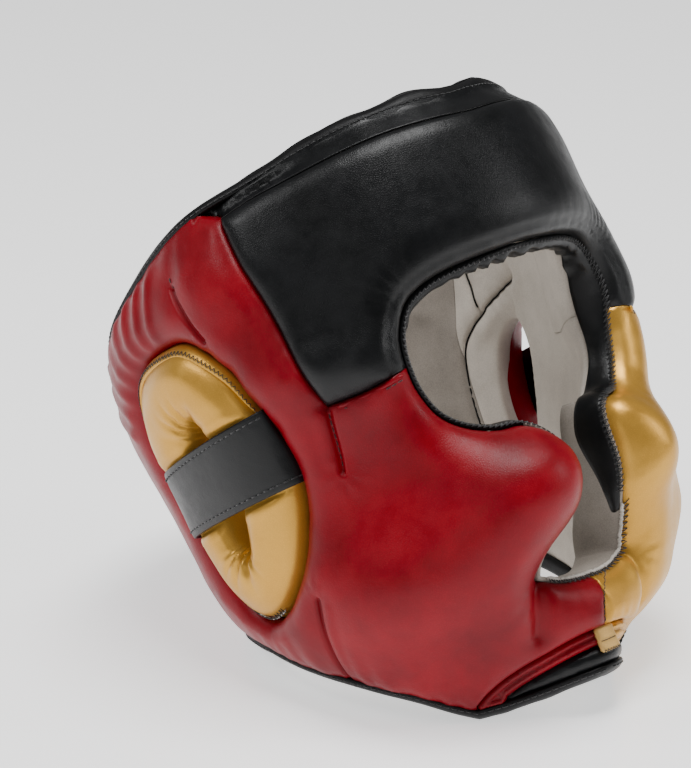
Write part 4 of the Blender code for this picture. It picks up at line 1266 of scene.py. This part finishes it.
def face_gusset():
    """The strip that faces the padding's thickness round the eyes, gathered at the brow."""
    line = across_the_face("brow", "cheek")
    line = line[line[:, 1] > GUSSET_END + 1]

    def section(index, station):
        flat = station[None, :]
        fade = np.clip((GUSSET_TOP - station[1]) / (GUSSET_TOP - GUSSET_END), 0, 1)
        inner, outer = hollow_depth(flat)[0] - GUSSET_INNER, opening_edge(flat)[0]
        inner_end = inner - (inner - outer - 3.2) * fade ** 1.5
        top = 1 / (1 + math.exp(-(station[1] - 46) / 4))
        mark = index * STEP
        ruffle = math.sin(mark / 1.55 + 2.0 * math.sin(mark / 9.0))
        ruffle *= 0.55 + 0.45 * math.sin(mark / 13.0)
        corners = [(-GUSSET, outer)]
        for share in (0.0, 0.12, 0.3, 0.5, 0.7, 0.88, 1.0):
            frill = top * math.sin(math.pi * min(1.0, share * 1.4)) ** 0.5 if share < 0.7 else top
            bulge = 0.8 * math.sin(math.pi * share) + frill * (2.0 + 1.3 * ruffle)
            slide = ruffle * top * 0.9 * share ** 2
            corners.append((bulge, outer + 0.4 + (inner_end - outer - 0.4) * share + slide))
        corners.append((-GUSSET, inner_end))
        return corners

    sweep("face_gusset_leather", line, section, BLACK, False, ("face_gusset",))
    edge = line[4:-4]
    right = outward(edge, False)
    a = place(edge + right * -1.0, opening_edge(edge) - 1.5)
    b = place(edge + right * 0.5, opening_edge(edge) + 1.4)
    threads("face_gusset_overlock", zigzag_runs(a, b, ZIGZAGS["gusset"]), ZIGZAGS["gusset"].radius,
            BLACK_THREAD)


def mouth_facing():
    """Suede turned over the padding's thickness round the mouth, with a pale cut edge."""
    half = path("cheek", "mouth")[0]
    half = half[half[:, 1] < GUSSET_TOP + 12]
    line = np.vstack([half, mirrored(half)[1:]])

    def section(index, station):
        flat = station[None, :]
        inner, outer = hollow_depth(flat)[0], opening_edge(flat)[0] - 0.4
        corners = [(-2.4, outer)]
        for share in (0.0, 0.2, 0.5, 0.8, 1.0):
            away = -0.5 + 0.5 * math.sin(math.pi * share)
            corners.append((away, outer + (inner + 0.5 - outer) * share))
        corners.append((-2.4, inner + 0.5))
        return corners

    sweep("mouth_facing_suede", line, section, SUEDE, False)
    low = line[(line[:, 1] < -66) | ((line[:, 1] < -47) & (line[:, 0] > 0))]
    right = outward(low, False)
    edge = place(low + right * -0.7, opening_edge(low) - 0.6)
    fringe = resample(edge, 0.6)
    ruffle = np.random.default_rng(4).normal(0, 0.16, fringe.shape)
    threads("mouth_cut_edge", [fringe + ruffle], 0.75, PALE_EDGE, sides=8)
    a = place(low + right * -2.4, opening_edge(low) - 3.4)
    b = place(low + right * -0.4, opening_edge(low) + 0.2)
    threads("mouth_overlock", zigzag_runs(a, b, ZIGZAGS["mouth"]), ZIGZAGS["mouth"].radius,
            BLACK_THREAD)


# Rims

# Section of the folded tape: how far it stands past the rim's line and how deep, how much of the
# crown's ripple and of the tape's waviness it takes, and whether it lies outside the fold.
TapePoint = namedtuple("TapePoint", "away depth ripple wavy_away wavy_depth outside")
TAPE_SECTION = (
    TapePoint(1.0, 8.0, 0, 0, 0.0, 1), TapePoint(1.2, 5.6, 0, 0, 0.0, 1),
    TapePoint(2.1, 4.6, 0, 0, 0.4, 1), TapePoint(3.6, 4.5, 0, 0, 0.5, 1),
    TapePoint(4.8, 5.2, 1, 0, 0.0, 1), TapePoint(5.7, 6.6, 1, 0, 0.0, 1),
    TapePoint(6.1, 9.0, 1, 1, 0.0, 1), TapePoint(6.2, 12.5, 1, 1, 0.0, 0),
    TapePoint(6.0, 16.0, 1, 0, 0.0, 0), TapePoint(5.2, 19.0, 1, 0, 0.0, 0),
    TapePoint(3.4, 20.9, 0, 0, 0.0, 0), TapePoint(0.6, 21.4, 0, 0, 0.0, 0),
    TapePoint(-3.0, 22.9, 0, 0, 0.0, 0), TapePoint(-3.4, 22.2, 0, 0, 0.0, 0),
    TapePoint(-1.4, 18.0, 0, 0, 0.0, 0),
)
TAPE_ROW = TapePoint(2.9, 4.55, 0, 0, 0.0, 1)      # where its stitches run


def tape_setback(angle, crown):
    """How much deeper the tape lies than its section says, at the front of the crown."""
    return TAPE_BACK * (1 - 1 / (1 + np.exp(-(angle - 78) / 4))) * crown


def binding(name, names, node, crown):
    """Folded tape all round a rim, lapping over the leather outside and the suede inside."""
    points = path(*names)[0]
    line = np.vstack([points, mirrored(points)[1:-1]])

    def section(index, station):
        angle = half_turn(station[0] / ARC)
        back = tape_setback(angle, crown)
        mark = index * STEP
        wave = 0.25 * math.sin(mark / 5.1) + 0.2 * math.sin(mark / 13.7 + 1)
        ripple = 0.9 * math.sin(mark / 9.0) * math.exp(-(angle / 38) ** 2) * crown
        return [(p.away + p.ripple * ripple + p.wavy_away * wave,
                 p.depth + p.wavy_depth * wave + p.outside * back) for p in TAPE_SECTION]

    sweep(name, line, section, TAPE, True, (node,))
    loop = np.vstack([line, line[:1]])
    right = outward(line, True)
    right = np.vstack([right, right[:1]])
    back = tape_setback(half_turn(loop[:, 0] / ARC), crown)
    runs = stitch_runs(place(loop + right * TAPE_ROW.away, TAPE_ROW.depth + back), STITCHES["tape"])
    threads(name + "_stitches", runs, STITCHES["tape"].radius, BLACK_THREAD)


# Chin

def chin():
    """The folded strips, the cup and the little tab under the chin bar."""
    for side, word, material, slot in SIDES:
        points, kinds = path("cup_top", "fold_low", "-jaw", "-chin_low")
        outline = inset(turned(points, side), turned_kinds(kinds + ["seam"], side))[0]

        def depth(flat, outline=outline):
            away = from_outline(flat, outline)
            edge, fold = 2.4 * np.exp(-(away / 1.1) ** 2), 1.7 * np.exp(-((away - 3.6) / 0.75) ** 2)
            return 4.4 + edge + fold

        panel(word + "_chin_fold", [outline], depth, backing_depth, material,
              (word + "_chin_strip",), front_step=0.9)
    cup = inset(*both_halves(path("cup_low", "-cup_top")))[0]

    def cup_depth(flat):
        return 6.0 + 3.0 * np.exp(-(from_outline(flat, cup) / 1.6) ** 2)

    panel("chin_cup_leather", [cup], cup_depth, backing_depth, BLACK, ("chin_cup",))
    tab()


def tab():
    """A small tab over the middle seam, with a slit line and a cut lower edge."""
    half, low, high, slit_height, face = 3.6 * ARC, -101.8, -91.2, -97.2, 3.6
    loop = clipped_rectangle(half, low, high, 1.0, 0.0, 1.0)

    def depth(flat):
        slit = 0.5 * np.exp(-((flat[:, 1] - slit_height) / 0.45) ** 2) * (np.abs(flat[:, 0]) < half - 1)
        return face + 0.3 * np.exp(-(from_outline(flat, loop) / 0.5) ** 2) + slit

    points = lattice([loop], 0.9, ())
    faces = triangles(points, [loop])
    offset = len(points)
    both = np.vstack([place(points, depth(points)), place(points, face + 1.6)])
    faces = faces + [tuple(offset + i for i in reversed(face)) for face in faces]
    faces += [((i + 1) % len(loop), i, offset + i, offset + (i + 1) % len(loop))
              for i in range(len(loop))]
    add_mesh("chin_tab_leather", both, faces, PALE_GOLD, ("chin_tab",))
    foot = resample(np.array([(-half + 0.4, low + 0.2), (half - 0.4, low + 0.2)]), 0.5)
    slit_line = resample(np.array([(-half + 1.2, slit_height), (half - 1.2, slit_height)]), 0.5)
    runs = zigzag_runs(place(foot + (0, -0.5), 3.9), place(foot + (0, 0.9), 3.4), ZIGZAGS["tab foot"])
    runs += zigzag_runs(place(slit_line, 3.8), place(slit_line + (0, 0.3), 3.8), ZIGZAGS["tab slit"])
    threads("chin_tab_thread", runs, ZIGZAGS["tab foot"].radius, BLACK_THREAD)


# Seams between the leathers

# Where the stitches of the cheek, jaw and temple darts start and end.
DART_ROWS = (((58.3, 21), (59.4, -2)), ((75.1, -52), (80.3, -84)), ((92.6, 86), (84.4, 60)))


def seam_threads():
    """Dark thread in the seams, and the turned lip along the seam under the forehead pad."""
    for side, word, material, slot in SIDES:
        lip = curve(LINES["cheek_seam"].points, STEP)[2:-2] * (side, 1) + (0, -1.5)
        run = place(lip, EDGES["seam"].drop - swell(lip) - 1.1)
        threads(word + "_cheek_lip", [run], 0.95, material, sides=8)
        under = lip + (0, -1.5)
        rows = stitch_runs(place(under, -swell(under) + 1.6), STITCHES["lip"])
        for ends in DART_ROWS:
            dart = resample(np.array([(angle * ARC * side, height) for angle, height in ends]), STEP)
            depth = PADDING_DEPTH[word + "_shell"](dart)
            rows += stitch_runs(place(dart, depth), STITCHES["dart"])
        threads(word + "_seam_stitches", rows, STITCHES["dart"].radius, BLACK_THREAD)
    middle = curve(LINES["chin_seam"].points, 1.0)[1:-1]
    a = place(middle + (-0.6, 0), EDGES["seam"].drop - swell(middle) - 0.9)
    b = place(middle + (0.6, 0), EDGES["seam"].drop - swell(middle) - 0.9)
    threads("chin_seam_thread", zigzag_runs(a, b, ZIGZAGS["chin seam"]), ZIGZAGS["chin seam"].radius,
            BLACK_THREAD)


def closure():
    """One plain closure strap across the back, stitched round its edge."""
    loop = clipped_rectangle(27.0 * ARC, -18.0, 26.0, 4.0, BACK, STEP)
    outside, stitch_away = -CLOSURE - CLOSURE_LIFT, 3.4

    def depth(flat):
        away = from_outline(flat, loop)
        rounding = 0.9 * np.exp(-(away / 1.1) ** 2)
        return outside + rounding + 0.3 * np.exp(-((away - stitch_away) / 1.0) ** 2)

    panel("closure_strap_leather", [loop], depth, lambda flat: np.full(len(flat), -CLOSURE_LIFT + 1.4),
          TAPE, ("closure_strap",))
    centre = loop.mean(0)
    ring = centre + (loop - centre) * (1 - stitch_away / np.abs(loop - centre).max(0))
    ring = np.vstack([ring, ring[:1]])
    runs = stitch_runs(place(ring, outside + 0.3), STITCHES["closure"])
    threads("closure_strap_stitches", runs, STITCHES["closure"].radius, BLACK_THREAD)


# Room, light and camera

def room():
    """A pale plain floor and soft studio lights."""
    mesh = bpy.data.meshes.new("floor")
    mesh.from_pydata([(-6, -6, 0), (6, -6, 0), (6, 6, 0), (-6, 6, 0)], [], [(0, 1, 2, 3)])
    floor = bpy.data.objects.new("floor", mesh)
    # Smooth white paper sweep, with a little light of its own so that it stays pale.
    mesh.materials.append(start_material("pale_floor", {
        "Base Color": linear("#F8F8F8"), "Roughness": 0.22, "Specular IOR Level": 0.35,
        "Emission Color": linear("#FFFFFF"), "Emission Strength": 0.9})[0])
    bpy.context.scene.collection.objects.link(floor)
    world = bpy.data.worlds.new("studio")
    bpy.context.scene.world = world
    world.use_nodes = True
    background = world.node_tree.nodes["Background"]
    background.inputs["Color"].default_value = (1, 1, 1, 1)
    background.inputs["Strength"].default_value = 0.15
    aim = Vector((0.0, 0.0, 0.12))
    for name, where, size, power in (
            ("overhead", (0.0, -0.1, 1.5), (0.8, 0.6), 22),
            ("upper_left", (-1.1, 0.7, 1.2), (0.5, 0.7), 9),
            ("right_side", (1.1, -1.2, 0.9), (0.3, 1.0), 8),
            ("left_front", (-1.6, -0.9, 0.7), (0.5, 0.9), 2.5)):
        light = bpy.data.lights.new(name, "AREA")
        light.shape = "RECTANGLE"
        light.size, light.size_y = size
        light.energy = power
        lamp = bpy.data.objects.new(name, light)
        lamp.location = where
        lamp.rotation_euler = (aim - Vector(where)).to_track_quat("-Z", "Y").to_euler()
        bpy.context.scene.collection.objects.link(lamp)


def camera():
    """The camera at the photograph's angle, seen from in front and to the wearer's right."""
    azimuth, elevation, roll = (math.radians(value) for value in (-43.29, 19.77, -0.08))
    focal, reach, across, up = 3529.0, 1447.0, 20.23, 8.28    # focal in pixels of the photograph
    sensor, picture_height, aim_height = 36.0, 768, 115.0
    forward = np.array([math.sin(-azimuth) * math.cos(elevation),
                        math.cos(azimuth) * math.cos(elevation), -math.sin(elevation)])
    right = np.array([math.cos(azimuth), math.sin(azimuth), 0.0])
    upward = np.cross(right, forward)
    right, upward = (right * math.cos(roll) + upward * math.sin(roll),
                     upward * math.cos(roll) - right * math.sin(roll))
    where = (np.array([0, 0, aim_height]) - forward * reach - right * across - upward * up) * METRES
    data = bpy.data.cameras.new("camera")
    data.sensor_width = sensor
    data.lens = focal / picture_height * sensor
    data.clip_start, data.clip_end = 0.05, 30.0
    eye = bpy.data.objects.new("camera", data)
    columns = [list(right) + [0], list(upward) + [0], list(-forward) + [0], list(where) + [1]]
    eye.matrix_world = Matrix(columns).transposed()
    bpy.context.scene.collection.objects.link(eye)
    bpy.context.scene.camera = eye


camera()
room()
forehead()
side_panel("right_shell_leather", -1, RED, "right_shell")
side_panel("left_shell_leather", 1, GOLD, "left_shell")
ear_pad("right_ear_leather", -1, GOLD, "right_ear_pad")
ear_pad("left_ear_leather", 1, RED, "left_ear_pad")
ear_flange("right_ear_flange", -1, GOLD)
ear_flange("left_ear_flange", 1, RED)
ear_strap("right_strap_leather", -1, "right_ear_strap")
ear_strap("left_strap_leather", 1, "left_ear_strap")
crown_trim()
linings()
face_gusset()
mouth_facing()
binding("crown_tape", CROWN_LINES[::-1], "crown_binding", True)
binding("neck_tape", NECK_LINES, "neck_binding", False)
chin()
seam_threads()
closure()
